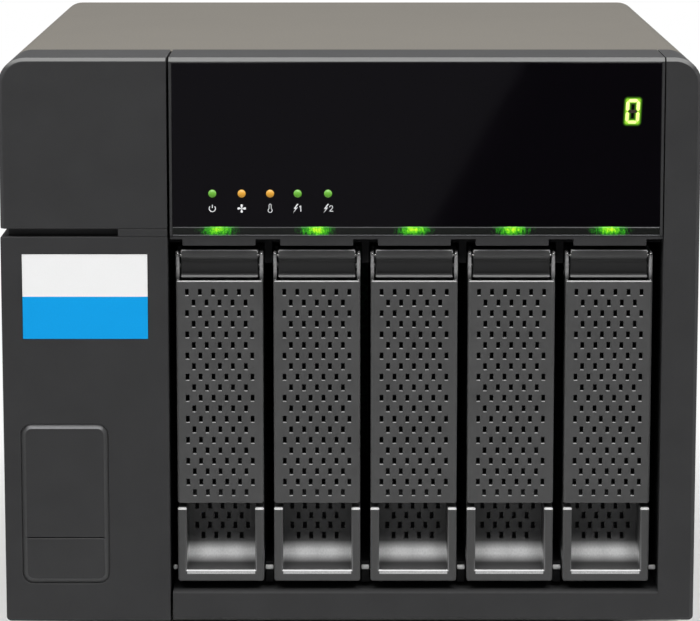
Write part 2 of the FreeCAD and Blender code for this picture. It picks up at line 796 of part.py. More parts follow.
def make_front_bezel():
    """The right column and the bar under the bays, one hollow L-shaped moulding."""
    bezel = Piece("front_bezel")
    outline = [
        (OPENING_LEFT, BASE),
        (RIGHT, BASE, "lower_corner"),
        (RIGHT, TOP, "bezel_corner"),
        (OPENING_RIGHT, TOP),
        (OPENING_RIGHT, OPENING_FLOOR),
        (OPENING_LEFT, OPENING_FLOOR),
    ]
    bezel.pad("front", FRONT, BEZEL_BACK, [outline])
    wall = "plastic_wall"
    hollow = [
        (f"({OPENING_LEFT} + {wall})", f"({BASE} + {wall})"),
        (f"({RIGHT} - {wall})", f"({BASE} + {wall})"),
        (f"({RIGHT} - {wall})", f"({TOP} - {wall})", f"bezel_corner - {wall}"),
        (f"({OPENING_RIGHT} + {wall})", f"({TOP} - {wall})"),
        (f"({OPENING_RIGHT} + {wall})", f"({OPENING_FLOOR} - {wall})"),
        (f"({OPENING_LEFT} + {wall})", f"({OPENING_FLOOR} - {wall})"),
    ]
    bezel.pocket("front", f"({FRONT} + {wall})", BEZEL_BACK, [hollow])
    bezel.dress("Chamfer", "top_chamfer", along("x", None, FRONT, TOP))
    bezel.dress("Fillet", "front_round", along("x", None, FRONT, OPENING_FLOOR))
    return keep(bezel)


def make_left_upper_panel():
    """The hollow cap at the top of the left column."""
    panel = Piece("left_upper_panel")
    wall = "plastic_wall"
    outline = [(LEFT, SLOT_TOP), (COLUMN_EDGE, SLOT_TOP), (COLUMN_EDGE, TOP), (LEFT, TOP, "bezel_corner")]
    panel.pad("front", FRONT, BEZEL_BACK, [outline])
    hollow = [
        (f"({LEFT} + {wall})", f"({SLOT_TOP} + {wall})"),
        (f"({COLUMN_EDGE} - {wall})", f"({SLOT_TOP} + {wall})"),
        (f"({COLUMN_EDGE} - {wall})", f"({TOP} - {wall})"),
        (f"({LEFT} + {wall})", f"({TOP} - {wall})", f"bezel_corner - {wall}"),
    ]
    panel.pocket("front", f"({FRONT} + {wall})", BEZEL_BACK, [hollow])
    panel.dress("Chamfer", "top_chamfer", along("x", None, FRONT, TOP))
    return keep(panel)


def make_left_lower_panel():
    """The long hollow panel of the left column, with a label seat and the window of its frame."""
    panel = Piece("left_lower_panel")
    wall = "plastic_wall"
    outline = [
        (LEFT, BASE, "lower_corner"),
        (COLUMN_EDGE, BASE),
        (COLUMN_EDGE, SLOT_FLOOR),
        (LEFT, SLOT_FLOOR),
    ]
    panel.pad("front", FRONT, BEZEL_BACK, [outline])
    hollow = rectangle(f"({LEFT} + {wall})", f"({BASE} + {wall})",
                       f"({COLUMN_EDGE} - {wall})", f"({SLOT_FLOOR} - {wall})")
    panel.pocket("front", f"({FRONT} + {wall})", BEZEL_BACK, [hollow])
    panel.pocket("front", FRONT, f"({FRONT} + label_sheet)", [label_outline()])
    panel.pocket("front", FRONT, f"({FRONT} + {wall})", [recess_outline("0")])
    return keep(panel)


def label_outline():
    """The edge of the label, which its seat shares."""
    left = f"({LEFT} + label_inset)"
    top = f"({SLOT_FLOOR} - label_drop)"
    return rectangle(left, f"({top} - label_height)", f"({COLUMN_EDGE} - label_margin)", top)


def recess_outline(inset, corner="recess_corner"):
    """The edge of the framed recess, moved inwards by an inset."""
    left = f"({LEFT} + recess_inset)"
    low = f"({BASE} + recess_rise)"
    return rectangle(f"({left} + {inset})", f"({low} + {inset})", f"({left} + recess_width - {inset})",
                     f"({low} + recess_height - {inset})", corner)


def make_recess_frame():
    """A rounded frame in the lower panel, with a bevelled inner edge."""
    frame = Piece("recess_frame")
    back = f"({FRONT} + recess_bevel + plate_sheet)"
    frame.pad("front", FRONT, back, [recess_outline("fit_gap / 2", "recess_corner - fit_gap / 2")])
    inset = "recess_bevel"
    opening = [recess_outline(inset, "recess_corner - recess_bevel")]
    frame.pocket("front", FRONT, back, opening)
    left = f"({LEFT} + recess_inset + {inset})"
    frame.dress("Chamfer", "recess_bevel - fit_gap", along("z", left, FRONT, None))
    return keep(frame)


def make_recess_plates():
    """The two blank plates that fill the frame, one above the other."""
    left = f"({LEFT} + recess_inset + recess_bevel + fit_gap)"
    right = f"({LEFT} + recess_inset + recess_width - recess_bevel - fit_gap)"
    low = f"({BASE} + recess_rise + recess_bevel + fit_gap)"
    high = f"({BASE} + recess_rise + recess_height - recess_bevel - fit_gap)"
    split = f"({BASE} + recess_rise + plate_split)"
    front = f"({FRONT} + recess_bevel)"
    round_off = "recess_corner - recess_bevel"
    upper = [(left, f"({split} + plate_gap / 2)"), (right, f"({split} + plate_gap / 2)"),
             (right, high, round_off), (left, high, round_off)]
    lower = [(left, low, round_off), (right, low, round_off),
             (right, f"({split} - plate_gap / 2)"), (left, f"({split} - plate_gap / 2)")]
    for name, outline in (("upper_plate", upper), ("lower_plate", lower)):
        plate = Piece(name)
        plate.pad("front", front, f"({front} + plate_sheet)", [outline])
        keep(plate)


def make_column_frame():
    """The inner frame that both left panels clip to, seen as the dark back of the slot."""
    frame = Piece("column_frame")
    left = f"({LEFT} + plastic_wall + fit_gap)"
    right = f"({COLUMN_EDGE} - case_sheet)"
    bar = rectangle(left, f"({SLOT_FLOOR} + fit_gap / 3)", right, f"({SLOT_TOP} - fit_gap / 3)")
    frame.pad("front", f"({FRONT} + slot_recess)", BEZEL_BACK, [bar])
    low = f"({BASE} + flange + fit_gap)"
    high = f"({TOP} - bezel_corner - fit_gap)"
    back = f"({BEZEL_BACK} + plastic_wall)"
    left = f"({CASE_LEFT} + case_sheet + case_clearance)"
    frame.pad("front", BEZEL_BACK, back, [rectangle(left, low, right, high)])
    edge = "(plastic_wall * 3)"
    for bottom, top in ((low, SLOT_FLOOR), (SLOT_TOP, high)):
        hole = rectangle(f"({left} + {edge})", f"({bottom} + {edge})",
                         f"({right} - {edge})", f"({top} - {edge})")
        frame.pocket("front", BEZEL_BACK, back, [hole])
    return keep(frame)


def make_column_strip():
    """The flush strip that closes the right end of the slot."""
    low = (SLOT_END, FRONT, f"({SLOT_FLOOR} + fit_gap / 3)")
    high = (COLUMN_EDGE, f"({FRONT} + slot_recess)", f"({SLOT_TOP} - fit_gap / 3)")
    return keep(box("column_strip", low, high))


def make_label():
    """A two-colour paper label, flush in its seat."""
    label = Piece("label_sticker")
    label.pad("front", FRONT, f"({FRONT} + label_sheet)", [label_outline()])
    return keep(label)


def make_display_frame():
    """The thin frame round the dark window, with the top of the front behind it."""
    frame = Piece("display_frame")
    back_rail = f"({BOARD_FRONT} + rail_clearance)"
    frame.pad("front", FRONT, BEZEL_BACK, [rectangle(OPENING_LEFT, GUIDE_LEVEL, FRAME_RIGHT, TOP)])
    left = f"({OPENING_LEFT} + frame_side)"
    right = f"({FRAME_RIGHT} - frame_side)"
    roof = f"({TOP} - frame_top)"
    frame.pocket("front", FRONT, back_rail, [rectangle(left, f"({GUIDE_LEVEL} - 1)", right, roof)])
    frame.pocket("front", back_rail, BEZEL_BACK,
                 [rectangle(left, f"({WINDOW_LEVEL} + frame_rail)", right, roof)])
    frame.dress("Chamfer", "top_chamfer", along("x", None, FRONT, TOP))
    return keep(frame)


def make_display_window():
    """The dark window of the display."""
    window = Piece("display_window")
    outline = rectangle(f"({OPENING_LEFT} + frame_side)", WINDOW_LEVEL,
                        f"({FRAME_RIGHT} - frame_side)", f"({TOP} - frame_top)")
    window.pad("front", FRONT, f"({FRONT} + glass)", [outline])
    return keep(window)


def make_light_guide():
    """The strip that carries the drive lights to the front, with its two long edges eased."""
    guide = Piece("light_guide")
    section = [
        (f"({FRONT} + guide_ease)", GUIDE_LEVEL),
        (f"({FRONT} + guide_depth)", GUIDE_LEVEL),
        (f"({FRONT} + guide_depth)", WINDOW_LEVEL),
        (f"({FRONT} + guide_ease)", WINDOW_LEVEL),
        (FRONT, f"({WINDOW_LEVEL} - guide_ease)"),
        (FRONT, f"({GUIDE_LEVEL} + guide_ease)"),
    ]
    guide.pad("side", f"({OPENING_LEFT} + frame_side)", f"({FRAME_RIGHT} - frame_side)", [section])
    return keep(guide)


def make_bay_comb():
    """The bar over the bays, with a tab down over each tray's catch."""
    comb = Piece("bay_comb")
    front = f"({FRONT} + comb_setback)"
    back = f"({front} + comb_depth)"
    bar = rectangle(OPENING_LEFT, f"({TAB_LEVEL} + tab_drop)", f"({OPENING_RIGHT} - fit_gap)", GUIDE_LEVEL)
    comb.pad("front", front, back, [bar])
    tab = rectangle(f"({bay_centre(0)} - tab_width / 2)", TAB_LEVEL,
                    f"({bay_centre(0)} + tab_width / 2)", f"({TAB_LEVEL} + tab_drop)")
    feature = comb.pad("front", front, back, [tab])
    comb.repeat(feature, "X_Axis", BAY_PITCH, BAY_COUNT)
    return keep(comb)


def make_front_board():
    """The circuit board behind the window and the light guide."""
    low = (f"({OPENING_LEFT} + board_margin)", BOARD_FRONT, GUIDE_LEVEL)
    high = (f"({FRAME_RIGHT} - board_margin)", f"({BOARD_FRONT} + board_sheet)", f"({TOP} - board_margin)")
    return keep(box("front_board", low, high))


def make_lights():
    """The status lamps, the drive lamps and the one-figure display, all on the front board."""
    lamps = []
    for number in range(STATUS_LEDS):
        place = f"({OPENING_LEFT} + led_inset + led_pitch * {number})"
        lamps.append(prism(f"status_lamp_{number + 1}", "y",
                           (place, f"({FRONT} + glass)", f"({WINDOW_LEVEL} + led_rise)"),
                           "led_radius", "board_depth - glass", 8))
    keep(group("status_leds", *lamps))
    lamps = []
    for number in range(BAY_COUNT):
        middle = bay_centre(number)
        low = (f"({middle} - drive_led)", f"({FRONT} + guide_depth)", f"({GUIDE_LEVEL} + guide_ease)")
        high = (f"({middle} + drive_led)", BOARD_FRONT, f"({GUIDE_LEVEL} + guide_ease + drive_led)")
        lamps.append(box(f"drive_lamp_{number + 1}", low, high))
    keep(group("drive_leds", *lamps))
    centre_x = f"({FRAME_RIGHT} - digit_inset)"
    centre_z = f"({TOP} - digit_drop)"
    low = (f"({centre_x} - digit_width / 2)", f"({FRONT} + glass + digit_gap)",
           f"({centre_z} - digit_height / 2)")
    high = (f"({centre_x} + digit_width / 2)", BOARD_FRONT, f"({centre_z} + digit_height / 2)")
    keep(box("digit_display", low, high))


# ---------------------------------------------------------------------------
# Drive trays: carrier, lever handle, hinge pin and drive
# ---------------------------------------------------------------------------

def make_tray(number, middle):
    """The carrier: a face with a finger scoop and a hinge block, and two rails for the drive."""
    tray = Piece(f"tray_{number}", middle)
    half = f"{TRAY_WIDTH} / 2"
    head_front = f"({FRONT} + head_setback)"
    head_inner = f"({FRONT} + head_recess)"
    ledge = f"({head_front} + ledge_inset)"
    profile = [
        (FACE_FRONT, TRAY_BASE),
        (FACE_BACK, TRAY_BASE),
        (FACE_BACK, TRAY_TOP),
        (head_front, TRAY_TOP),
        (head_front, f"({TRAY_TOP} - head_bar)"),
        (head_inner, f"({TRAY_TOP} - head_bar - head_step)"),
        (head_inner, f"({HEAD_BASE} + head_ledge)"),
        (ledge, f"({HEAD_BASE} + head_ledge)"),
        (ledge, HEAD_BASE),
        (HANDLE_BACK, HEAD_BASE),
        (HANDLE_BACK, f"({TRAY_BASE} + post_height)"),
        (FACE_FRONT, f"({TRAY_BASE} + post_height)"),
    ]
    tray.pad("side", f"0 - {half}", half, [profile])
    for side in (half, f"0 - {half}"):
        tray.dress("Fillet", "face_round", along("y", side, None, TRAY_BASE))
    carve_scoop(tray)
    clear_side = (f"({FRONT} + side_clear_front)", f"({PIVOT_Y} + side_clear_back)")
    low = f"({HEAD_BASE} - side_clear_drop)"
    flank = [rectangle("head_width / 2", low, f"({half} + 1)", f"({TRAY_TOP} + 1)")]
    tray.mirror(tray.pocket("front", *clear_side, flank), "side")
    back_wall = (f"({FACE_BACK} - face_wall - 0.1)", FACE_BACK)
    low = f"({TRAY_BASE} + window_rise)"
    window = [rectangle("0 - window_width / 2", low, "window_width / 2", f"({low} + window_height)")]
    tray.repeat(tray.pocket("front", *back_wall, window), "Z_Axis", "window_pitch", 4)
    add_rails(tray)
    tray.pocket("side", f"0 - {TRAY_WIDTH}", TRAY_WIDTH,
                circles=[(PIVOT_Y, PIVOT_Z, "pin_radius + pin_clearance")])
    return keep(tray)


def carve_scoop(tray):
    """Hollows the face out between its posts, down to the quarter-round finger scoop."""
    inner_back = f"({FACE_BACK} - face_wall)"
    mouth = f"({FACE_FRONT} - 1)"
    roof = f"({HEAD_BASE} - hollow_roof)"
    hollow = [
        (mouth, LIP_LEVEL),
        (inner_back, LIP_LEVEL, "scoop_radius"),
        (inner_back, roof),
        (mouth, roof),
    ]
    inner = f"({TRAY_WIDTH} / 2 - post_width)"
    tray.pocket("side", f"0 - {inner}", inner, [hollow])


def add_rails(tray):
    """Adds the two rails that hold the drive by its long edges, each with three lightening slots."""
    rail_end = f"({DRIVE_BACK} - rail_tail)"
    start = f"({FACE_BACK} - face_wall)"
    half = "rail_width / 2"
    low_rail = (f"({DRIVE_BASE} - rail_sheet)", DRIVE_BASE)
    high_rail = (DRIVE_TOP, f"({DRIVE_TOP} + rail_sheet)")
    for low, high in (low_rail, high_rail):
        outline = [
            (f"0 - {half}", start),
            (half, start),
            (half, f"({rail_end} - rail_taper)"),
            (f"({half} - rail_taper_side)", rail_end),
            (f"rail_taper_side - {half}", rail_end),
            (f"0 - {half}", f"({rail_end} - rail_taper)"),
        ]
        tray.pad("top", low, high, [outline])
    near = f"({FACE_BACK} + rail_slot_start)"
    slot = [rectangle("0 - rail_slot_width / 2", near, "rail_slot_width / 2", f"({near} + rail_slot)")]
    cutter = tray.pocket("top", f"({DRIVE_BASE} - rail_sheet)", f"({DRIVE_TOP} + rail_sheet)", slot)
    tray.repeat(cutter, "Y_Axis", "rail_slot + rail_slot_gap", 3)


def make_handle(number, middle):
    """The lever handle: a plate with two flanges that rise into hinge arms."""
    handle = Piece(f"handle_{number}", middle)
    half = f"{TRAY_WIDTH} / 2"
    front = FACE_FRONT
    sheet_back = f"({front} + handle_sheet)"
    handle.pad("front", front, sheet_back, [rectangle(f"0 - {half}", HANDLE_BASE, half, HANDLE_TOP)])
    back = f"({front} + flange_depth)"
    lip_back = f"({front} + lip_depth)"
    arm_front = f"({front} + arm_inset)"
    arm_back = f"({PIVOT_Y} + arm_back)"
    arm_top = f"({PIVOT_Z} + arm_rise)"
    arm = [
        (front, HANDLE_BASE),
        (lip_back, HANDLE_BASE),
        (back, f"({HANDLE_BASE} + flange_taper)"),
        (back, f"({HANDLE_TOP} + arm_shoulder)"),
        (arm_back, f"({PIVOT_Z} - arm_heel)"),
        (arm_back, f"({PIVOT_Z} + arm_crest)"),
        (f"({PIVOT_Y} + arm_tip)", arm_top),
        (arm_front, arm_top),
        (arm_front, HANDLE_TOP),
        (front, HANDLE_TOP),
    ]
    flange = handle.pad("side", f"({half} - flange_sheet)", half, [arm])
    handle.mirror(flange, "side")
    for side in (half, f"0 - {half}"):
        handle.dress("Fillet", "bend_round", along("z", side, front, None))
    lip = rectangle(f"0 - {half} + flange_sheet", HANDLE_BASE, f"{half} - flange_sheet",
                    f"({HANDLE_BASE} + handle_sheet)")
    handle.pad("front", sheet_back, lip_back, [lip])
    handle.pocket("side", f"0 - {TRAY_WIDTH}", TRAY_WIDTH,
                  circles=[(PIVOT_Y, PIVOT_Z, "pin_radius + pin_clearance")])
    return keep(handle)


def make_hinge_pin(number, middle):
    """The pin that a handle turns on, fixed in the tray's hinge block."""
    start = (f"({middle} - {TRAY_WIDTH} / 2 + pin_inset)", PIVOT_Y, PIVOT_Z)
    length = f"{TRAY_WIDTH} - pin_inset * 2"
    return keep(cylinder(f"hinge_pin_{number}", "x", start, "pin_radius", length))


def make_drive(number, middle):
    """A 3.5 inch drive on its edge, with the notch that its plug enters at the back."""
    half = "drive_thickness / 2"
    notch_half = "(plug_thickness / 2 + plug_clearance)"
    near = f"({DRIVE_BACK} - plug_entry - plug_clearance)"
    body = box(f"drive_{number}_body", (f"0 - {half}", DRIVE_FRONT, DRIVE_BASE),
               (half, DRIVE_BACK, DRIVE_TOP), middle)
    notch = box(f"drive_{number}_notch", (f"0 - {notch_half}", near, f"({PLUG_BASE} - plug_clearance)"),
                (notch_half, f"({DRIVE_BACK} + 1)", f"({PLUG_TOP} + plug_clearance)"), middle)
    return keep(cut(f"drive_{number}", body, notch))


# ---------------------------------------------------------------------------
# Inside: backplane, boards, supply and fans
# ---------------------------------------------------------------------------

def make_backplane():
    """The board behind the drives, with an air window above each plug."""
    board = Piece("backplane_board")
    back = f"({BACKPLANE} + board_sheet)"
    outline = rectangle(f"({COLUMN_EDGE} + backplane_margin)", f"({CAGE_FLOOR} - backplane_margin)",
                        f"({OPENING_RIGHT} - backplane_margin)", f"({CAGE_CEILING} + backplane_margin)")
    board.pad("front", BACKPLANE, back, [outline])
    middle = bay_centre(0)
    window = rectangle(f"({middle} - air_width / 2)", f"({PLUG_TOP} + air_rise)",
                       f"({middle} + air_width / 2)", f"({CAGE_CEILING} - air_margin)")
    air = board.pocket("front", BACKPLANE, back, [window])
    board.repeat(air, "X_Axis", BAY_PITCH, BAY_COUNT)
    return keep(board)


def make_drive_plugs():
    """The plugs on the backplane that the drives push on to."""
    plugs = []
    for number in range(BAY_COUNT):
        low = ("0 - plug_thickness / 2", f"({DRIVE_BACK} - plug_entry)", PLUG_BASE)
        high = ("plug_thickness / 2", BACKPLANE, PLUG_TOP)
        plugs.append(box(f"drive_plug_{number + 1}", low, high, bay_centre(number)))
    return keep(group("drive_plugs", *plugs))


def make_main_board():
    """The controller board, upright on stand-offs in the left column."""
    back = f"({PANEL_FRONT} - main_board_gap)"
    front = f"({back} - main_board_length)"
    keep(box("main_board", (BOARD_LEFT, front, MAIN_BOARD_BASE),
             (f"({BOARD_LEFT} + board_sheet)", back, MAIN_BOARD_TOP)))
    levels = (("low", f"({MAIN_BOARD_BASE} + standoff_inset)"),
              ("high", f"({MAIN_BOARD_TOP} - standoff_inset)"))
    places = (("front", f"({front} + standoff_inset)"), ("rear", f"({CAGE_BACK} - standoff_setback)"))
    stands = [prism(f"standoff_{end}_{row}", "x", (f"({BOARD_LEFT} + board_sheet)", place, level),
                    "standoff_radius", "standoff_height", 6)
              for row, level in levels for end, place in places]
    keep(group("board_standoffs", *stands))


def make_data_ports():
    """Small data sockets on the main board, each a shell round a tongue."""
    back = f"({CASE_BACK} + port_proud)"
    front = f"({back} - port_depth)"
    left = f"({BOARD_LEFT} - port_height)"
    middle = f"({BOARD_LEFT} - port_height / 2)"
    ports = []
    for number, low in enumerate(PORT_FLOORS, start=1):
        high = f"({low} + port_width)"
        shell = box(f"port_{number}_shell", (left, front, low), (BOARD_LEFT, back, high))
        mouth = box(f"port_{number}_mouth",
                    (f"({left} + port_wall)", f"({front} + 3)", f"({low} + port_wall)"),
                    (f"({BOARD_LEFT} - port_wall)", f"({back} + 1)", f"({high} - port_wall)"))
        tongue = box(f"port_{number}_tongue",
                     (f"({middle} - port_tongue / 2)", f"({front} + 2)", f"({low} + port_tongue_side)"),
                     (f"({middle} + port_tongue / 2)", f"({back} - 1.4)", f"({high} - port_tongue_side)"))
        ports.append(join(f"port_{number}", cut(f"port_{number}_case", shell, mouth), tongue))
    return keep(group("data_ports", *ports))


def make_power_supply():
    """The supply's steel box, open at the back for its inlet, switch and small fan."""
    supply = Piece("power_supply")
    supply.pad("front", SUPPLY_FRONT, PANEL_FRONT,
               [rectangle(SUPPLY_LEFT, SUPPLY_BASE, SUPPLY_RIGHT, SUPPLY_TOP)])
    supply.pocket("front", f"({PANEL_FRONT} - small_fan_depth)", PANEL_FRONT,
                  circles=[(SMALL_FAN_X, SUPPLY_Z, "small_fan_bore / 2")])
    supply.pocket("front", f"({PANEL_FRONT} - inlet_depth - fit_gap)", PANEL_FRONT,
                  [inlet_outline("fit_gap")])
    half_width = "(rocker_width / 2 + rocker_side_gap)"
    half_height = "(rocker_height / 2 + rocker_end_gap)"
    well = rectangle(f"({ROCKER_X} - {half_width})", f"({SUPPLY_Z} - {half_height})",
                     f"({ROCKER_X} + {half_width})", f"({SUPPLY_Z} + {half_height})")
    supply.pocket("front", f"({PANEL_FRONT} - rocker_depth - rocker_back_gap)", PANEL_FRONT, [well])
    return keep(supply)


def inlet_outline(gap):
    """The inlet's outer edge upright, with a gap added all round."""
    half_width = f"(inlet_height / 2 + {gap})"
    half_height = f"(inlet_width / 2 + {gap})"
    return rectangle(f"({INLET_X} - {half_width})", f"({SUPPLY_Z} - {half_height})",
                     f"({INLET_X} + {half_width})", f"({SUPPLY_Z} + {half_height})")


def make_power_inlet():
    """The mains inlet: a cup with two cut corners and three flat pins."""
    inlet = Piece("power_inlet")
    inlet.pad("front", f"({PANEL_FRONT} - inlet_depth)", PANEL_FRONT, [inlet_outline("0")])
    inlet.pad("front", PANEL_FRONT, INLET_BACK, [inlet_outline("inlet_flange")])
    left = f"({INLET_X} - inlet_height / 2 + inlet_wall)"
    right = f"({INLET_X} + inlet_height / 2 - inlet_wall)"
    low = f"({SUPPLY_Z} - inlet_width / 2 + inlet_wall)"
    high = f"({SUPPLY_Z} + inlet_width / 2 - inlet_wall)"
    cup = [
        (left, low),
        (f"({right} - inlet_cut)", low),
        (right, f"({low} + inlet_cut)"),
        (right, f"({high} - inlet_cut)"),
        (f"({right} - inlet_cut)", high),
        (left, high),
    ]
    floor = f"({INLET_BACK} - inlet_cup)"
    inlet.pocket("front", floor, INLET_BACK, [cup])
    pins = [rectangle(f"({INLET_X} + {across} - 1)", f"({SUPPLY_Z} + {up} - 2)",
                      f"({INLET_X} + {across} + 1)", f"({SUPPLY_Z} + {up} + 2)")
            for across, up in ((-2, -7), (-2, 7), (2, 0))]
    inlet.pad("front", floor, f"({INLET_BACK} - inlet_pin_drop)", pins)
    return keep(inlet)


def make_power_switch():
    """The rocker of the supply's switch, a shallow V with its lower end tipped out."""
    rocker = Piece("power_switch", ROCKER_X)
    back = f"({PANEL_FRONT} + 0.4)"
    front = f"({back} - rocker_depth)"
    half = "(rocker_height / 2)"
    section = [
        (front, f"({SUPPLY_Z} - rocker_foot)"),
        (f"({back} + 1.6)", f"({SUPPLY_Z} - {half})"),
        (f"({back} - 0.2)", SUPPLY_Z),
        (f"({back} - 0.6)", f"({SUPPLY_Z} + {half})"),
        (front, f"({SUPPLY_Z} + rocker_foot)"),
    ]
    rocker.pad("side", "0 - rocker_width / 2", "rocker_width / 2", [section])
    return keep(rocker)


def make_supply_bracket():
    """A bent sheet that carries the supply on the drive cage."""
    bracket = Piece("supply_bracket")
    low = f"({CAGE_CEILING} + case_sheet)"
    left = f"({SUPPLY_LEFT} + bracket_inset)"
    right = f"({SUPPLY_RIGHT} - bracket_inset)"
    section = [
        (left, low),
        (f"({left} + bracket_foot)", low),
        (f"({left} + bracket_foot)", f"({low} + case_sheet)"),
        (f"({left} + case_sheet)", f"({low} + case_sheet)"),
        (f"({left} + case_sheet)", f"({SUPPLY_BASE} - case_sheet)"),
        (f"({right} - case_sheet)", f"({SUPPLY_BASE} - case_sheet)"),
        (f"({right} - case_sheet)", f"({low} + case_sheet)"),
        (f"({right} - bracket_foot)", f"({low} + case_sheet)"),
        (f"({right} - bracket_foot)", low),
        (right, low),
        (right, SUPPLY_BASE),
        (left, SUPPLY_BASE),
    ]
    back = f"({CAGE_BACK} - bracket_setback)"
    bracket.pad("front", f"({back} - bracket_length)", back, [section])
    return keep(bracket)


def make_fan_frame():
    """The square frame of the rear fan, with four struts to a motor plate."""
    frame = Piece("fan_frame")
    back = PANEL_FRONT
    front = f"({back} - fan_depth)"
    left = f"({BAYS_MIDDLE} - fan_size / 2)"
    right = f"({BAYS_MIDDLE} + fan_size / 2)"
    frame.pad("front", front, back,
              [rectangle(left, FAN_BASE, right, f"({FAN_BASE} + fan_size)", "fan_corner")])
    frame.pocket("front", front, back, circles=[(BAYS_MIDDLE, FAN_Z, f"{FAN_BORE} / 2")])
    plate = (front, f"({front} + fan_plate)")
    frame.pad("front", *plate, circles=[(BAYS_MIDDLE, FAN_Z, "fan_hub / 2")])
    reach = f"({FAN_BORE} / 2 + 1)"
    half = "fan_strut / 2"
    for across, up in ((reach, half), (half, reach)):
        frame.pad("front", *plate, [rectangle(f"({BAYS_MIDDLE} - {across})", f"({FAN_Z} - {up})",
                                              f"({BAYS_MIDDLE} + {across})", f"({FAN_Z} + {up})")])
    return keep(frame)


def make_rotor(name, centre_x, centre_z, hub, tip, near, far, blades):
    """A fan wheel that turns about the Y direction: a round hub and twisted blades.

    Each blade is lofted from a steep root to a flatter tip. It is drawn too long and
    trimmed to the tip radius, so that its end is round.
    """
    x, z, start, end = value(centre_x), value(centre_z), value(near), value(far)
    axis = FreeCAD.Vector(0, 1, 0)
    centre = FreeCAD.Vector(x, start, z)
    wheel = Part.makeCylinder(value(hub) / 2, end - start, centre, axis)
    reach = Part.makeCylinder(value(tip), end - start, centre, axis)
    edge_gap = value("blade_edge_gap")
    thick = value("blade_sheet")
    depth = end - start - edge_gap * 2
    foot = value(hub) / 2 - value("blade_root")
    sections = []
    for level, slope in ((foot, value("blade_root_slope")), (value(tip) + 1, value("blade_tip_slope"))):
        lean = depth * slope
        spots = ((0, 0), (thick, 0), (lean + thick, depth), (lean, depth))
        corners = [FreeCAD.Vector(x + u - lean / 2, start + edge_gap + v, z + level) for u, v in spots]
        sections.append(Part.makePolygon(corners + corners[:1]))
    blade = Part.makeLoft(sections, True, True).common(reach)
    for number in range(blades):
        turned = blade.copy()
        turned.rotate(centre, axis, 360 / blades * number)
        wheel = wheel.fuse(turned)
    rotor = doc.addObject("Part::Feature", name)
    rotor.Label = name
    rotor.Shape = wheel
    return keep(rotor)


def make_fan_guard(name, centre_x, centre_z, radius, sheet_size, ring, seat, rings):
    """A finger guard: flat rings, a hub and a cross, on legs that stand on the panel behind it."""
    guard = Piece(name)
    front = f"({seat} + guard_stand)"
    back = f"({front} + {sheet_size})"
    for number in range(rings):
        outer = f"({radius} - {radius} * {number} / {rings + 1})"
        guard.pad("front", front, back, circles=[(centre_x, centre_z, outer),
                                                 (centre_x, centre_z, f"({outer} - {ring})")])
    reach = f"({radius} - {ring} / 2)"
    half = f"({ring} / 2)"
    for across, up in ((reach, half), (half, reach)):
        guard.pad("front", front, back, [rectangle(f"({centre_x} - {across})", f"({centre_z} - {up})",
                                                   f"({centre_x} + {across})", f"({centre_z} + {up})")])
    guard.pad("front", front, back, circles=[(centre_x, centre_z, f"{radius} / {rings + 1}")])
    legs = [rectangle(f"({centre_x} {sign} {reach} - {half})", f"({centre_z} - {half})",
                      f"({centre_x} {sign} {reach} + {half})", f"({centre_z} + {half})") for sign in "+-"]
    guard.pad("front", seat, front, legs)
    return keep(guard)


# ---------------------------------------------------------------------------
# The whole enclosure
# ---------------------------------------------------------------------------

def make_everything():
    """Makes every sub-part of the enclosure."""
    make_top_cover()
    make_chassis_base()
    make_rear_panel()
    make_drive_cage()
    make_feet()
    make_case_screws()
    make_front_bezel()
    make_left_upper_panel()
    make_left_lower_panel()
    make_recess_frame()
    make_recess_plates()
    make_column_frame()
    make_column_strip()
    make_label()
    make_display_frame()
    make_display_window()
    make_light_guide()
    make_bay_comb()
    make_front_board()
    make_lights()
    for index in range(BAY_COUNT):
        number, middle = index + 1, bay_centre(index)
        make_tray(number, middle)
        make_handle(number, middle)
        make_hinge_pin(number, middle)
        make_drive(number, middle)
    make_backplane()
    make_drive_plugs()
    make_main_board()
    make_data_ports()
    make_power_supply()
    make_power_inlet()
    make_power_switch()
    make_supply_bracket()
    make_fan_frame()
    make_rotor("fan_rotor", BAYS_MIDDLE, FAN_Z, "fan_hub", f"{FAN_BORE} / 2 - fan_tip_gap",
               f"({PANEL_FRONT} - fan_depth + fan_plate + fan_plate_gap)",
               f"({PANEL_FRONT} - fan_back_gap)", FAN_BLADES)
    make_fan_guard("fan_guard", BAYS_MIDDLE, FAN_Z, f"({FAN_BORE} / 2 + guard_reach)", "guard_sheet",
                   "guard_ring", CASE_BACK, 2)
    make_rotor("supply_fan_rotor", SMALL_FAN_X, SUPPLY_Z, "small_fan_hub",
               "small_fan_bore / 2 - small_fan_tip_gap",
               f"({PANEL_FRONT} - small_fan_depth + fan_plate_gap)",
               f"({PANEL_FRONT} - small_fan_back_gap)", SMALL_FAN_BLADES)
    make_fan_guard("supply_fan_guard", SMALL_FAN_X, SUPPLY_Z, "(small_fan_bore / 2 + small_guard_reach)",
                   "small_guard_sheet", "small_guard_ring", PANEL_FRONT, 2)


def check_document():
    """Stops if any object failed, or any sub-part has no sound solid."""
    doc.recompute()
    for item in doc.Objects:
        if {"Invalid", "Error"} & set(item.State):
            raise RuntimeError(f"{item.Label} failed: {item.State}")
    for item in SUBPARTS:
        if item.Shape.isNull() or not item.Shape.isValid() or not item.Shape.Solids:
            raise RuntimeError(f"{item.Label} has no sound solid")


make_everything()
check_document()
os.makedirs("parts", exist_ok=True)
for item in SUBPARTS:
    item.Shape.exportStep(f"parts/{item.Label}.step")
    print(f"{item.Label}: {len(item.Shape.Solids)} solid(s)")
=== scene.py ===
"""Disk shelf enclosure: finishes, fine detail, studio and camera.

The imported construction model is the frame. Each sub-assembly below is a class that
rounds, pierces or dresses its pieces in that same frame, in metres.
"""

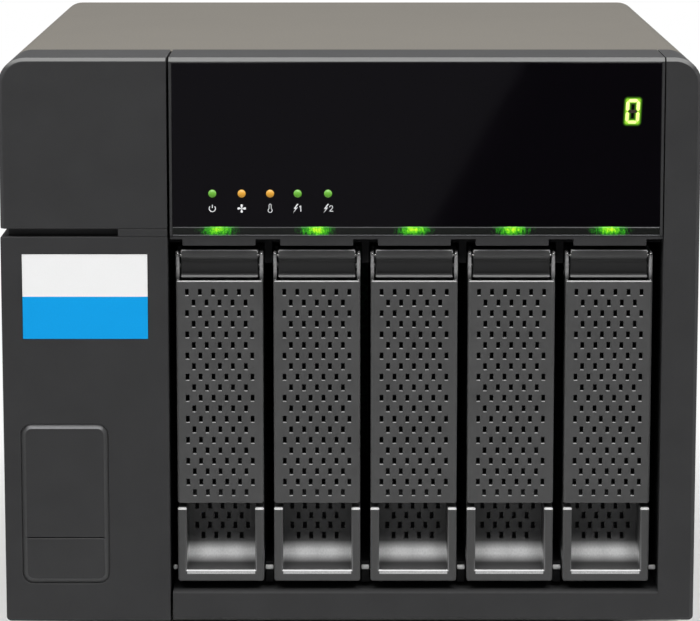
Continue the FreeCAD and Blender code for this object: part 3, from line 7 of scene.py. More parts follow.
import json
import logging
import math
from dataclasses import dataclass, field
from enum import Enum
from typing import Callable, Iterable, Sequence

import bmesh
import bpy
from mathutils import Matrix, Vector

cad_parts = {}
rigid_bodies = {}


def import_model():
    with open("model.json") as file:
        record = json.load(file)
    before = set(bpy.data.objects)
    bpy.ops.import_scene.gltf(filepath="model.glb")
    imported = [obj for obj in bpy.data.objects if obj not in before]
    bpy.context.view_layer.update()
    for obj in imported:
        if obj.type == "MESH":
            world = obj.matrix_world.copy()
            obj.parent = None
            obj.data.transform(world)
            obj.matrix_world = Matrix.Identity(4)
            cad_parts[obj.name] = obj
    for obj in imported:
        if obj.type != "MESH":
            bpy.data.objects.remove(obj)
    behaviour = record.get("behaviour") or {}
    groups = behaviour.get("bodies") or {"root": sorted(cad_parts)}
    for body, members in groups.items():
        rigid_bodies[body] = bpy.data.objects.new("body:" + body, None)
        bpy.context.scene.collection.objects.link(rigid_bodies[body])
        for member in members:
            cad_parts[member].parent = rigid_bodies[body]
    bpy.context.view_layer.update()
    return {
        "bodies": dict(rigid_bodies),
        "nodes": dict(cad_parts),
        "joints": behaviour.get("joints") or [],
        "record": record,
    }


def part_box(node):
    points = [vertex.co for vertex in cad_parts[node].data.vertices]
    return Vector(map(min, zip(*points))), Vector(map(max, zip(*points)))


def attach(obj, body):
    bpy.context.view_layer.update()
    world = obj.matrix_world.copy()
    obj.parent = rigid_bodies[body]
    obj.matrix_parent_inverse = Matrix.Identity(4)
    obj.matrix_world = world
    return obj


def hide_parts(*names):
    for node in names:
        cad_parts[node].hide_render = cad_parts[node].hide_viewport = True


MM = 0.001
BAYS = 5
BAY_PITCH = 29.46 * MM
FIRST_BAY = -39.5 * MM
FRONT = -117.7 * MM
CHASSIS = "chassis"
LOG = logging.getLogger("disk_shelf")

Colour = tuple[float, float, float]
Point = tuple[float, float, float]
Pair = tuple[float, float]
Socket = bpy.types.NodeSocket
Feeds = dict[str | int, object]
Ring = Sequence[bmesh.types.BMVert]


class Axis(Enum):
    """Directions in which a shape can be turned or a surface can face."""

    X = 0
    Y = 1
    Z = 2


def tray_body(number: int) -> str:
    """Name of the body that holds one sliding tray."""
    return f"tray_{number}_body"


def handle_body(number: int) -> str:
    """Name of the body that holds one lever handle."""
    return f"handle_{number}_body"


def scaled(colour: Colour, share: float) -> Colour:
    """A colour made darker or lighter, held at white."""
    return tuple(min(1.0, part * share) for part in colour)


# ---------------------------------------------------------------- node trees


class Signal:
    """A number that nodes work out, which goes into sums like a plain one."""

    def __init__(self, bench: "Bench", socket: Socket) -> None:
        """Takes the socket that gives the number, and the bench of its tree."""
        self.bench = bench
        self.socket = socket

    def __add__(self, other: object) -> "Signal":
        """Sum of two numbers."""
        return self.bench.maths("ADD", self, other)

    def __sub__(self, other: object) -> "Signal":
        """This number less another."""
        return self.bench.maths("SUBTRACT", self, other)

    def __rsub__(self, other: float) -> "Signal":
        """A plain number less this one."""
        return self.bench.maths("SUBTRACT", other, self)

    def __mul__(self, other: object) -> "Signal":
        """Product of two numbers."""
        return self.bench.maths("MULTIPLY", self, other)

    def __truediv__(self, other: object) -> "Signal":
        """This number over another."""
        return self.bench.maths("DIVIDE", self, other)

    def __abs__(self) -> "Signal":
        """The number without its sign."""
        return self.bench.maths("ABSOLUTE", self)

    def __gt__(self, other: object) -> "Signal":
        """One where this number is the greater, and nought elsewhere."""
        return self.bench.maths("GREATER_THAN", self, other)

    def __lt__(self, other: object) -> "Signal":
        """One where this number is the smaller, and nought elsewhere."""
        return self.bench.maths("LESS_THAN", self, other)

    def most(self, other: object) -> "Signal":
        """The greater of two numbers."""
        return self.bench.maths("MAXIMUM", self, other)

    def least(self, other: object) -> "Signal":
        """The smaller of two numbers."""
        return self.bench.maths("MINIMUM", self, other)

    def within(self, limits: Pair) -> "Signal":
        """One where the number lies between two limits, and nought elsewhere."""
        return (self > limits[0]) * (self < limits[1])


class Bench:
    """Adds and feeds nodes in one tree."""

    def __init__(self, tree: bpy.types.NodeTree) -> None:
        """Takes up a tree."""
        self.tree = tree

    def feed(self, slot: Socket, value: object) -> None:
        """Links a signal or socket to an input, or sets the input.

        Args:
            slot: The input.
            value: Signal, socket, colour or other plain value.
        """
        source = value.socket if isinstance(value, Signal) else value
        if isinstance(source, Socket):
            self.tree.links.new(source, slot)
        elif slot.type == "RGBA":
            slot.default_value = (*source, 1.0)
        else:
            slot.default_value = source

    def add(self, kind: str, inputs: Feeds | None = None, **settings: object) -> bpy.types.Node:
        """Adds a node and feeds its inputs.

        Args:
            kind: Node type.
            inputs: Signals, sockets or plain values, by name or number of the input.
            settings: Properties to set on the node.

        Returns:
            The new node.
        """
        node = self.tree.nodes.new(kind)
        for key, value in settings.items():
            setattr(node, key, value)
        for key, value in (inputs or {}).items():
            self.feed(node.inputs[key], value)
        return node

    def out(self, kind: str, inputs: Feeds | None = None, **settings: object) -> Socket:
        """Adds a node as add does, and gives its first output."""
        return self.add(kind, inputs, **settings).outputs[0]

    def maths(self, operation: str, *values: object) -> Signal:
        """Adds a maths node.

        Args:
            operation: Name of the operation.
            values: Signals or plain numbers, in order.

        Returns:
            The result.
        """
        return Signal(self, self.out("ShaderNodeMath", dict(enumerate(values)), operation=operation))

    def plain_view(self) -> Signal:
        """Tells the rays that show a thing itself from those that light others.

        Returns:
            One for the first kind, and nought for the second.
        """
        path = self.add("ShaderNodeLightPath")
        seen = Signal(self, path.outputs["Is Camera Ray"])
        for ray in ("Is Glossy Ray", "Is Transmission Ray"):
            seen = seen.most(path.outputs[ray])
        return seen


class ShaderBench(Bench):
    """Builds one material round a principled shader."""

    def __init__(self, name: str) -> None:
        """Starts the material.

        Args:
            name: Name of the material.
        """
        self.material = bpy.data.materials.new(name)
        self.material.use_nodes = True
        super().__init__(self.material.node_tree)
        self.tree.nodes.clear()
        self.shader = self.add("ShaderNodeBsdfPrincipled")
        self.output = self.add("ShaderNodeOutputMaterial", {"Surface": self.shader.outputs["BSDF"]})
        coordinates = self.add("ShaderNodeTexCoord")
        self.place = coordinates.outputs["Object"]
        self.slope = coordinates.outputs["Normal"]

    def surface(self, inputs: dict[str, object]) -> None:
        """Feeds inputs of the principled shader, by name."""
        for name, value in inputs.items():
            self.feed(self.shader.inputs[name], value)

    def fed(self, name: str) -> Signal:
        """What feeds an input of the principled shader so far."""
        return Signal(self, self.shader.inputs[name].links[0].from_socket)

    def axes(self, vector: Socket | None = None) -> list[Signal]:
        """Parts of a vector along x, y and z: of the place on the piece, unless another is given."""
        split = self.add("ShaderNodeSeparateXYZ", {0: self.place if vector is None else vector})
        return [Signal(self, part) for part in split.outputs]

    def facing(self, axis: Axis, low: float, high: float, sign: float = 1.0) -> Signal:
        """How far the surface of the piece turns towards one axis.

        Args:
            axis: The axis.
            low: Share of the normal at which the result is 0.
            high: Share of the normal at which the result is 1.
            sign: 1 for towards the axis, or -1 for away from it.

        Returns:
            The share, from 0 to 1.
        """
        return self.span(self.axes(self.slope)[axis.value] * sign, low, high)

    def front_rim(self, low: float, high: float) -> Signal:
        """How far the surface turns both up and to the front, between two shares of the normal."""
        return self.facing(Axis.Z, low, high) * self.facing(Axis.Y, low, high, -1.0)

    def bays(self) -> Signal:
        """Place along the row of bays: 0 at the middle of the first, 1 at that of the second."""
        return (self.axes()[0] - FIRST_BAY) / BAY_PITCH

    def from_bay(self) -> Signal:
        """Distance to the middle of the nearest bay, in metres."""
        bays = self.bays()
        return abs(bays - self.maths("ROUND", bays)) * BAY_PITCH

    def noise(self, scale: float, detail: float = 3.0, stretch: Point = (1.0, 1.0, 1.0)) -> Signal:
        """Adds a noise pattern over the piece.

        Args:
            scale: Features per metre.
            detail: Octaves of finer noise.
            stretch: Share of the scale along each axis.

        Returns:
            The pattern, from 0 to 1.
        """
        place = self.out("ShaderNodeMapping", {"Scale": stretch, "Vector": self.place})
        pattern = self.add("ShaderNodeTexNoise", {"Scale": scale, "Detail": detail, "Vector": place})
        return Signal(self, pattern.outputs["Fac"])

    def ramp(self, factor: Signal, stops: Sequence[tuple[float, Colour]]) -> Socket:
        """Adds a colour ramp.

        Args:
            factor: What drives the ramp.
            stops: Position and colour of each stop, in rising order.

        Returns:
            The colour.
        """
        node = self.add("ShaderNodeValToRGB", {0: factor})
        elements = node.color_ramp.elements
        while len(elements) < len(stops):
            elements.new(0.5)
        for element, (position, colour) in zip(elements, stops):
            element.position = position
            element.color = (*colour, 1.0)
        return node.outputs[0]

    def span(
        self, value: Signal, low: float, high: float, to_low: float = 0.0, to_high: float = 1.0
    ) -> Signal:
        """Maps a value from one range to another and holds it at the ends.

        Args:
            value: Value to map.
            low: Start of its range.
            high: End of its range.
            to_low: Result at the start.
            to_high: Result at the end.

        Returns:
            The mapped value.
        """
        limits = {"Value": value, "From Min": low, "From Max": high, "To Min": to_low, "To Max": to_high}
        return Signal(self, self.out("ShaderNodeMapRange", limits))

    def blend(self, factor: Signal, first: object, second: object) -> Socket:
        """Mixes two colours.

        Args:
            factor: The second one's share.
            first: Colour or socket shown at 0.
            second: Colour or socket shown at 1.

        Returns:
            The mixed colour.
        """
        return self.add("ShaderNodeMix", {0: factor, 6: first, 7: second}, data_type="RGBA").outputs[2]

    def glow(self, colour: object, strength: float = 1.0) -> None:
        """Lets the surface give off light of a colour."""
        self.surface({"Emission Color": colour, "Emission Strength": strength})

    def overlay(self, white: Socket, share: Signal) -> None:
        """Lets another shader take over a share of the surface."""
        mixed = self.out("ShaderNodeMixShader", {0: share, 1: self.shader.outputs[0], 2: white})
        self.feed(self.output.inputs["Surface"], mixed)


@dataclass(frozen=True)
class Finish:
    """A surface finish with a mottled colour, an uneven gloss and a fine relief."""

    name: str
    slot: str
    colour: Colour
    roughness: float = 0.5
    metallic: float = 0.0
    mottle: float = 0.10
    patch: float = 60.0
    grain: float = 2200.0
    relief: float = 0.25
    depth: float = 0.00004
    unevenness: float = 0.06
    specular: float = 0.5

    def material(self) -> bpy.types.Material:
        """The finish as a material, made once and then shared."""
        return bpy.data.materials.get(self.name) or self.mix()

    def mix(self) -> bpy.types.Material:
        """Builds the material.

        Returns:
            The new material.
        """
        bench = ShaderBench(self.name)
        grain = bench.noise(self.grain, 2.0)
        tones = [(0.3, scaled(self.colour, 1.0 - self.mottle)), (0.7, scaled(self.colour, 1.0 + self.mottle))]
        smooth, rough = self.roughness - self.unevenness, self.roughness + self.unevenness
        relief = {"Strength": self.relief, "Distance": self.depth, "Height": grain}
        bench.surface(
            {
                "Metallic": self.metallic,
                "Specular IOR Level": self.specular,
                "Base Color": bench.ramp(bench.noise(self.patch, 4.0), tones),
                "Roughness": bench.span(grain, 0.2, 0.8, smooth, rough),
                "Normal": bench.out("ShaderNodeBump", relief),
            }
        )
        self.enrich(bench)
        return bench.material

    def enrich(self, bench: ShaderBench) -> None:
        """Adds what a special finish has beyond the plain one."""


@dataclass(frozen=True)
class LampFinish(Finish):
    """A moulded lamp lens: lit from within, with a painted highlight that makes its top paler and painted
    shade that darkens its foot.
    """

    glow: Colour = (0.2, 0.9, 0.1)
    # colour of the painted highlight at the top of the lens
    pale: Colour = (0.6, 1.0, 0.4)
    low: float = 0.0
    high: float = 1.0

    def enrich(self, bench: ShaderBench) -> None:
        """Adds the inner light, with the painted shade low and the painted highlight at the top."""
        height = bench.span(bench.axes()[2], self.low, self.high)
        # the glow runs from painted shade at the foot to a painted highlight at the top
        bench.glow(bench.ramp(height, [(0.0, scaled(self.glow, 0.35)), (0.55, self.glow), (1.0, self.pale)]))


@dataclass(frozen=True)
class GuideFinish(Finish):
    """A smoked light guide with painted highlights along its upper and lower rims and a lit stretch over each
    bay.
    """

    level: float = 129.25 * MM
    reach: float = 6.2 * MM
    tall: float = 2.8 * MM
    # heights and colour of the painted highlights along the rims
    rims: Pair = (127.59 * MM, 129.78 * MM)
    rim: Colour = (0.20, 0.20, 0.21)
    stops: tuple[tuple[float, Colour], ...] = (
        (0.0, (0.62, 1.0, 0.02)),
        (0.20, (0.17, 0.80, 0.01)),
        (0.50, (0.018, 0.30, 0.005)),
        (0.78, (0.003, 0.05, 0.001)),
        (1.0, (0.0, 0.0, 0.0)),
    )

    def enrich(self, bench: ShaderBench) -> None:
        """Adds the lit stretches and the painted highlights on the rims.

        Args:
            bench: Bench of the material in the making.
        """
        z = bench.axes()[2]
        bays = bench.bays()
        nearest = bench.maths("ROUND", bays).most(0.0).least(BAYS - 1.0)
        aside = (bays - nearest) * (BAY_PITCH / self.reach)
        above = (z - self.level) / self.tall
        rays = bench.span(bench.noise(1500.0, 2.0, (1.0, 1.0, 0.35)), 0.35, 0.65, -0.16, 0.16)
        speckle = bench.span(bench.noise(3600.0, 2.0), 0.35, 0.65, -0.14, 0.14)
        away = bench.maths("SQRT", aside * aside + above * above) + speckle + rays
        # painted highlights: pale above the upper rim height and below the lower one
        rim_highlight = (z > self.rims[1]).most(z < self.rims[0])
        bench.surface({"Base Color": bench.blend(rim_highlight, self.colour, self.rim)})
        bench.glow(bench.ramp(away, self.stops))


@dataclass(frozen=True)
class GlassFinish(Finish):
    """Smoked window glass, with the soft halo of the lit digit behind it."""

    centre: Pair = (84.57 * MM, 164.90 * MM)
    half: Pair = (1.58 * MM, 3.23 * MM)
    slant: float = 0.045
    fade: float = 1.25 * MM
    stops: tuple[tuple[float, Colour], ...] = (
        (0.0, (0.50, 0.95, 0.06)),
        (0.42, (0.26, 0.62, 0.03)),
        (0.66, (0.05, 0.17, 0.008)),
        (1.0, (0.0, 0.0, 0.0)),
    )

    def enrich(self, bench: ShaderBench) -> None:
        """Adds the halo along the digit's outline.

        Args:
            bench: Bench of the material in the making.
        """
        x, _, z = bench.axes()
        up = z - self.centre[1]
        across = x - self.centre[0] - up * self.slant
        over = [abs(value) - half for value, half in zip((across, up), self.half)]
        wide, tall = (value.most(0.0) for value in over)
        outside = bench.maths("SQRT", wide * wide + tall * tall)
        away = abs(outside + over[0].most(over[1]).least(0.0))
        bench.glow(bench.ramp(bench.span(away, 0.0, self.fade), self.stops))


@dataclass(frozen=True)
class StickerFinish(Finish):
    """A blank two-tone paper label, pale above and blue below."""

    lower: Colour = (0.0, 0.355, 0.823)
    split: float = 108.73 * MM

    def enrich(self, bench: ShaderBench) -> None:
        """Adds the lower colour.

        Args:
            bench: Bench of the material in the making.
        """
        fibre = bench.noise(3000.0)
        pale = bench.ramp(fibre, [(0.3, scaled(self.colour, 0.97)), (0.7, self.colour)])
        blue = bench.ramp(fibre, [(0.3, scaled(self.lower, 0.94)), (0.7, self.lower)])
        bench.surface({"Base Color": bench.blend(bench.axes()[2] > self.split, blue, pale)})


@dataclass(frozen=True)
class BoardFinish(Finish):
    """Solder mask over copper tracks."""

    copper: Colour = (0.05, 0.22, 0.09)

    def enrich(self, bench: ShaderBench) -> None:
        """Adds the tracks.

        Args:
            bench: Bench of the material in the making.
        """
        inputs = {"Scale": 320.0, "Vector": bench.place}
        cells = bench.add("ShaderNodeTexVoronoi", inputs, feature="DISTANCE_TO_EDGE", distance="CHEBYCHEV")
        track = bench.span(Signal(bench, cells.outputs["Distance"]), 0.06, 0.09, 1.0, 0.0)
        bench.surface({"Base Color": bench.blend(track, self.colour, self.copper)})


@dataclass(frozen=True)
class ScoopFinish(Finish):
    """Dark satin metal, with painted highlights along its rims and in a band low in the finger scoop, and
    painted shade in the head's recess and behind the lever.

    Places along z are from the ground, and those along y are from the front.
    """

    # colour of the painted highlights
    painted_highlight: Colour = (1.0, 1.0, 1.0)
    # colour of the pale line painted along the sill as its highlight
    sill_highlight: Colour = (0.16, 0.16, 0.16)
    # heights of the band with the painted highlight low in the scoop
    band: Pair = (24.5 * MM, 30.0 * MM)
    band_fade: Pair = (2.0 * MM, 2.4 * MM)
    scoop: Pair = (FRONT + 4.0 * MM, FRONT + 15.2 * MM)
    lobe: float = 5.2 * MM
    lobe_reach: Pair = (0.8 * MM, 6.0 * MM)
    # heights of the lip, which has a painted highlight
    lip: Pair = (22.3 * MM, 23.2 * MM)
    lip_half: float = 10.4 * MM
    lip_depth: float = FRONT + 3.0 * MM
    # heights of the foot rim, whose painted highlight is stronger
    foot_rim: Pair = (22.0 * MM, 24.0 * MM)
    # heights of the post tops with a painted highlight
    post_top: Pair = (42.4 * MM, 43.2 * MM)
    post_depth: float = FRONT + 3.2 * MM
    # heights over which the painted shade behind the lever sets in, and where it ends
    painted_shade: Pair = (42.5 * MM, 45.0 * MM)
    painted_shade_top: float = 113.6 * MM
    sill: Pair = (113.85 * MM, 114.75 * MM)
    sill_rim: Pair = (113.4 * MM, 115.0 * MM)
    # painted shade in the head's recess: where it starts and over which heights it lessens
    recess: float = 114.6 * MM
    recess_fade: Pair = (114.7 * MM, 119.2 * MM)
    # above this height the rims' painted highlight is stronger
    head_rim: float = 121.5 * MM

    def enrich(self, bench: ShaderBench) -> None:
        """Adds the painted highlights of the band, the rims, the lip and the post tops, the pale line painted
        along the sill, and the painted shade in the head's recess and behind the lever.

        Args:
            bench: Bench of the material in the making.
        """
        _, y, z = bench.axes()
        # the band is a painted highlight: pale between two heights in the scoop, in two lobes, speckled
        rise = bench.span(z, self.band[0], self.band[0] + self.band_fade[0])
        fall = bench.span(z, self.band[1] - self.band_fade[1], self.band[1], 1.0, 0.0)
        lobes = bench.span(abs(bench.from_bay() - self.lobe), *self.lobe_reach, 1.0, 0.78)
        band_speckle = bench.span(bench.noise(2600.0, 3.0, (1.0, 0.5, 0.5)), 0.3, 0.7, 0.84, 1.0)
        band = rise * fall * y.within(self.scoop) * lobes * band_speckle
        # painted highlights on rims that face up and to the front, weaker at the sill and stronger at the
        # foot and the head
        rim = bench.front_rim(0.30, 0.6) * (y < self.scoop[0]) * (1.0 - z.within(self.sill_rim) * 0.75)
        edge = rim * ((z.within(self.foot_rim) + (z > self.head_rim)) * 0.15 + 0.6)
        # painted highlight along the lip, speckled
        lip = z.within(self.lip) * (y < self.lip_depth) * (bench.from_bay() < self.lip_half)
        painted_glint = lip * bench.span(bench.noise(2600.0, 2.0), 0.3, 0.7, 0.35, 0.55)
        # painted highlight on the tops of the posts
        post_top = z.within(self.post_top) * (y < self.post_depth) * 0.8
        painted_highlight = band.most(edge.most(painted_glint).most(post_top))
        # painted shade: darker in the head's recess and behind the lever
        sunk = y > self.scoop[0]
        recess = sunk * (z > self.recess) * bench.span(z, *self.recess_fade, 0.86, 0.5)
        lever_shade = sunk * bench.span(z, *self.painted_shade, 0.0, 0.95) * (z < self.painted_shade_top)
        body = bench.blend(recess.most(lever_shade), self.colour, scaled(self.colour, 0.06))
        # a pale line painted along the sill stands for its highlight
        edged = bench.blend(z.within(self.sill), body, self.sill_highlight)
        bench.surface({"Metallic": painted_highlight * 0.10, "Base Color": bench.blend(painted_highlight, edged, self.painted_highlight)})


@dataclass(frozen=True)
class LeverFinish(Finish):
    """Dark paint on the lever's plate, grey metal on its arms, and painted highlights along the rims that
    face up and to the front.
    """

    arm: Colour = (0.32, 0.32, 0.32)
    # colour of the painted highlight on rims that face up and to the front
    edge: Colour = (0.50, 0.50, 0.50)
    level: Pair = (113.9 * MM, 115.9 * MM)

    def enrich(self, bench: ShaderBench) -> None:
        """Adds the grey arms and the painted highlights on the rims.

        Args:
            bench: Bench of the material in the making.
        """
        pale_part = bench.span(bench.axes()[2], *self.level) * bench.span(bench.noise(900.0), 0.3, 0.6, 0.55, 1.0)
        body = bench.blend(pale_part, bench.fed("Base Color"), self.arm)
        # painted highlight: rims that face up and to the front are made pale
        bench.surface({"Base Color": bench.blend(bench.front_rim(0.35, 0.65), body, self.edge)})


@dataclass(frozen=True)
class FrontFinish(Finish):
    """Fine-grained dark plastic, with a painted highlight along its upper chamfer, and duller on top."""

    # colour of the painted highlight on the upper chamfer
    pale_part: Colour = (0.190, 0.191, 0.188)
    chamfer: float = 176.5 * MM
    dullness: float = 0.3

    def enrich(self, bench: ShaderBench) -> None:
        """Adds the painted highlight on the chamfer and the dull top.

        Args:
            bench: Bench of the material in the making.
        """
        # painted highlight: the upper chamfer, where it faces up and to the front, is made pale
        outer = bench.front_rim(0.45, 0.65) * (bench.axes()[2] > self.chamfer)
        dull = bench.facing(Axis.Z, 0.80, 0.98) * self.dullness
        bench.surface(
            {
                "Base Color": bench.blend(outer, bench.fed("Base Color"), self.pale_part),
                "Roughness": bench.fed("Roughness") + dull,
            }
        )


@dataclass(frozen=True)
class RimFinish(Finish):
    """Dark paint with a painted highlight along the upward-facing slope of the pad's rim."""

    painted_glint: Colour = (0.27, 0.27, 0.28)

    def enrich(self, bench: ShaderBench) -> None:
        """Adds the painted highlight on the upward-facing slope."""
        # painted highlight: surfaces that face up are made pale, a little unevenly
        share = bench.facing(Axis.Z, 0.35, 0.70) * bench.span(bench.noise(1500.0), 0.3, 0.6, 0.88, 1.0)
        bench.surface({"Base Color": bench.blend(share, self.colour, self.painted_glint)})


@dataclass(frozen=True)
class DriveFinish(Finish):
    """Cast drive housing whose front end is painted near-black and not metallic, as painted shade behind the
    tray's slots.
    """

    painted_shade_depth: float = FRONT + 18.6 * MM
    black: Colour = (0.002, 0.002, 0.002)

    def enrich(self, bench: ShaderBench) -> None:
        """Adds the painted shade on the front end.

        Args:
            bench: Bench of the material in the making.
        """
        # painted shade: everything in front of this depth is near-black
        painted_shade = bench.axes()[1] < self.painted_shade_depth
        colour = bench.blend(painted_shade, self.colour, self.black)
        bench.surface({"Base Color": colour, "Metallic": self.metallic - painted_shade})


def grey(level: float, blue: float = 0.0) -> Colour:
    """A grey, with a little more or less of blue."""
    return (level, level, level + blue)


class Palette:
    """Every finish that several pieces or methods use."""

    case = Finish(
        "case_steel", "case_grey", (0.106, 0.096, 0.079), 0.60, 0.15, 0.025, 30.0, 1800.0, 0.15, specular=0.10
    )
    front = FrontFinish(
        "front_plastic", "front_black", grey(0.040, 0.001), 0.55, 0.0, 0.06, 90.0, 2600.0, 0.35, specular=0.12
    )
    # near-black painted shade, for the drive cage deep inside the bays and the slots of the screws
    shade = Finish("inner_plastic", "inner_black", grey(0.004, 0.0005), 0.6, 0.0, 0.10, 90.0, 2200.0, 0.3)
    glass = GlassFinish(
        "window_glass", "window_black", (0.0015, 0.001, 0.002), 0.045, 0.0, 0.05, 50.0, 400.0, 0.02,
        unevenness=0.01,
    )
    guide = GuideFinish(
        "light_guide", "guide_dark", (0.010, 0.011, 0.010), 0.14, 0.0, 0.1, 200.0, 1500.0, 0.1,
        unevenness=0.03,
    )
    tray = ScoopFinish("tray_satin", "tray_black", grey(0.068), 0.38, 0.0, 0.06, 120.0, 2600.0, 0.3)
    handle = LeverFinish("handle_paint", "handle_black", grey(0.074), 0.36, 0.0, 0.07, 140.0, 2400.0, 0.35)
    steel = Finish("bright_steel", "pin_steel", grey(0.62, -0.01), 0.25, 1.0, 0.06, 300.0, 2500.0, 0.1)
    # near-white, so that the guide studs carry a painted glint
    stud = Finish("stud_metal", "pin_steel", grey(0.95, -0.01), 0.22, 0.2, 0.04, 300.0, 2500.0, 0.1)
    drive = DriveFinish("cast_metal", "drive_metal", (0.36, 0.365, 0.37), 0.42, 0.9, 0.10, 160.0, 1500.0, 0.3)
    zinc = Finish("zinc_plate", "zinc_steel", (0.46, 0.465, 0.47), 0.36, 0.95, 0.16, 240.0, 900.0, 0.15)
    board = BoardFinish("board_mask", "board_green", (0.012, 0.085, 0.035), 0.35, 0.0, 0.08)
    plug = Finish("plug_plastic", "plug_black", grey(0.018, 0.001), 0.5)
    paper = StickerFinish("label_stock", "label_paper", grey(0.90), 0.6, 0.0, 0.02, specular=0.15)
    # same paint as the plates, made lighter over the whole rim as a painted highlight on its slopes
    rim = RimFinish("rim_paint", "plate_grey", grey(0.055, 0.001), 0.42, 0.0, 0.06, 120.0, 2400.0, 0.3)
    plate = Finish("plate_paint", "plate_grey", grey(0.039, 0.001), 0.40, 0.0, 0.06, 120.0, 2400.0, 0.3)
    rubber = Finish("foot_rubber", "rubber_black", grey(0.020), 0.8, 0.0, 0.12, 150.0, 1200.0, 0.5)
    fan = Finish("fan_plastic", "fan_black", grey(0.016, 0.001), 0.42, 0.0, 0.1, 100.0, 1800.0, 0.2)
    port = Finish("port_shell", "port_steel", grey(0.55, 0.01), 0.28, 1.0, 0.05, 250.0, 1500.0, 0.08)
    rocker = Finish(
        "rocker_plastic", "rocker_black", grey(0.014, 0.001), 0.33, 0.0, 0.08, 100.0, 1800.0, 0.15
    )


# ---------------------------------------------------------------- mesh tools


def link_piece(name: str, mesh: bpy.types.Mesh) -> bpy.types.Object:
    """Puts a mesh in the scene as an object at the origin.

    Args:
        name: Name of the piece.
        mesh: Its mesh, already in place.

    Returns:
        The new object.
    """
    mesh.name = name
    obj = bpy.data.objects.new(name, mesh)
    bpy.context.scene.collection.objects.link(obj)
    return obj


def bake(obj: bpy.types.Object) -> bpy.types.Mesh:
    """Turns an object with its modifiers into one plain mesh and clears the modifiers.

    Args:
        obj: Object to bake.

    Returns:
        The baked mesh, which the object now shows.
    """
    bpy.context.view_layer.update()
    graph = bpy.context.evaluated_depsgraph_get()
    mesh = bpy.data.meshes.new_from_object(obj.evaluated_get(graph))
    obj.modifiers.clear()
    obj.data = mesh
    return mesh


def dress(
    obj: bpy.types.Object,
    finish: Finish,
    body: str = CHASSIS,
    stands_for: Iterable[str] = (),
) -> bpy.types.Object:
    """Gives a piece its finish and its body.

    Args:
        obj: Finished piece.
        finish: Its finish.
        body: Name of the body it rides on.
        stands_for: Construction nodes that it replaces.

    Returns:
        The same object.
    """
    obj.data.materials.clear()
    obj.data.materials.append(finish.material())
    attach(obj, body)
    nodes = list(stands_for)
    if nodes:
        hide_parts(*nodes)
    LOG.info("piece %s on %s: %s, %d faces", obj.name, body, finish.name, len(obj.data.polygons))
    return obj


def finished(bm: bmesh.types.BMesh, name: str, angle: float = 32.0) -> bpy.types.Mesh:
    """Closes a mesh in the making: merges doubles and turns faces outwards.

    Args:
        bm: Mesh in the making, which is freed.
        name: Name of the result.
        angle: Edges sharper than this many degrees stay hard.

    Returns:
        The finished mesh.
    """
    bmesh.ops.remove_doubles(bm, verts=bm.verts, dist=1e-6)
    bmesh.ops.recalc_face_normals(bm, faces=bm.faces)
    mesh = bpy.data.meshes.new(name)
    bm.to_mesh(mesh)
    bm.free()
    mesh.shade_smooth()
    mesh.set_sharp_from_angle(angle=math.radians(angle))
    return mesh


def add_block(bm: bmesh.types.BMesh, low: Point, high: Point) -> None:
    """Adds a closed block between two corners.

    Args:
        bm: Mesh to add to.
        low: Its lowest corner.
        high: Its highest corner.
    """
    centre = (Vector(low) + Vector(high)) / 2
    size = Vector(high) - Vector(low)
    matrix = Matrix.Translation(centre) @ Matrix.Diagonal((*size, 1.0))
    bmesh.ops.create_cube(bm, size=1.0, matrix=matrix)


def add_slab(bm: bmesh.types.BMesh, outline: Sequence[Pair], front: float, back: float) -> None:
    """Adds a closed slab that stands upright and faces the front.

    Args:
        bm: Mesh to add to.
        outline: Corners of the slab as x and z, in order.
        front: Place of its front face along y.
        back: Place of its back face along y.
    """
    near = [bm.verts.new((x, front, z)) for x, z in outline]
    far = [bm.verts.new((x, back, z)) for x, z in outline]
    bm.faces.new(near)
    bm.faces.new(list(reversed(far)))
    count = len(outline)
    for i in range(count):
        j = (i + 1) % count
        bm.faces.new((near[j], near[i], far[i], far[j]))


def add_belt(bm: bmesh.types.BMesh, lower: Ring, upper: Ring) -> None:
    """Adds a belt of faces between two rings of as many corners.

    Args:
        bm: Mesh to add to.
        lower: The first ring.
        upper: The second ring.
    """
    for i in range(len(lower)):
        j = (i + 1) % len(lower)
        bm.faces.new((lower[i], lower[j], upper[j], upper[i]))


def add_lathe(
    bm: bmesh.types.BMesh,
    profile: Sequence[Pair],
    centre: Point,
    axis: Axis = Axis.Y,
    steps: int = 24,
    flip: float = 1.0,
) -> None:
    """Adds a turned shape whose profile starts and ends near the axis.

    Args:
        bm: Mesh to add to.
        profile: Radius and distance along the axis of each ring.
        centre: Where the axis starts.
        axis: Direction of the axis.
        steps: Faces round the axis.
        flip: 1 to run along the axis, or -1 to run against it.
    """
    others = [k for k in range(3) if k != axis.value]
    rings = []
    for radius, along in profile:
        ring = []
        for i in range(steps):
            angle = 2 * math.pi * i / steps
            spot = [0.0, 0.0, 0.0]
            spot[axis.value] = along * flip
            spot[others[0]], spot[others[1]] = radius * math.cos(angle), radius * math.sin(angle)
            ring.append(bm.verts.new(Vector(centre) + Vector(spot)))
        rings.append(ring)
    for lower, upper in zip(rings, rings[1:]):
        add_belt(bm, lower, upper)
    bm.faces.new(list(reversed(rings[0])))
    bm.faces.new(rings[-1])


def round_outline(low: Pair, high: Pair, radius: float, steps: int) -> list[Pair]:
    """Corners of a rectangle with round corners.

    Args:
        low: Lowest x and z.
        high: Highest x and z.
        radius: Corner radius.
        steps: Points in each corner.

    Returns:
        The outline, in order.
    """
    left, right = low[0] + radius, high[0] - radius
    bottom, top = low[1] + radius, high[1] - radius
    points = []
    for x, z, start in ((right, top, 0.0), (left, top, 90.0), (left, bottom, 180.0), (right, bottom, 270.0)):
        for i in range(steps):
            angle = math.radians(start + 90.0 * i / (steps - 1))
            points.append((x + radius * math.cos(angle), z + radius * math.sin(angle)))
    return points


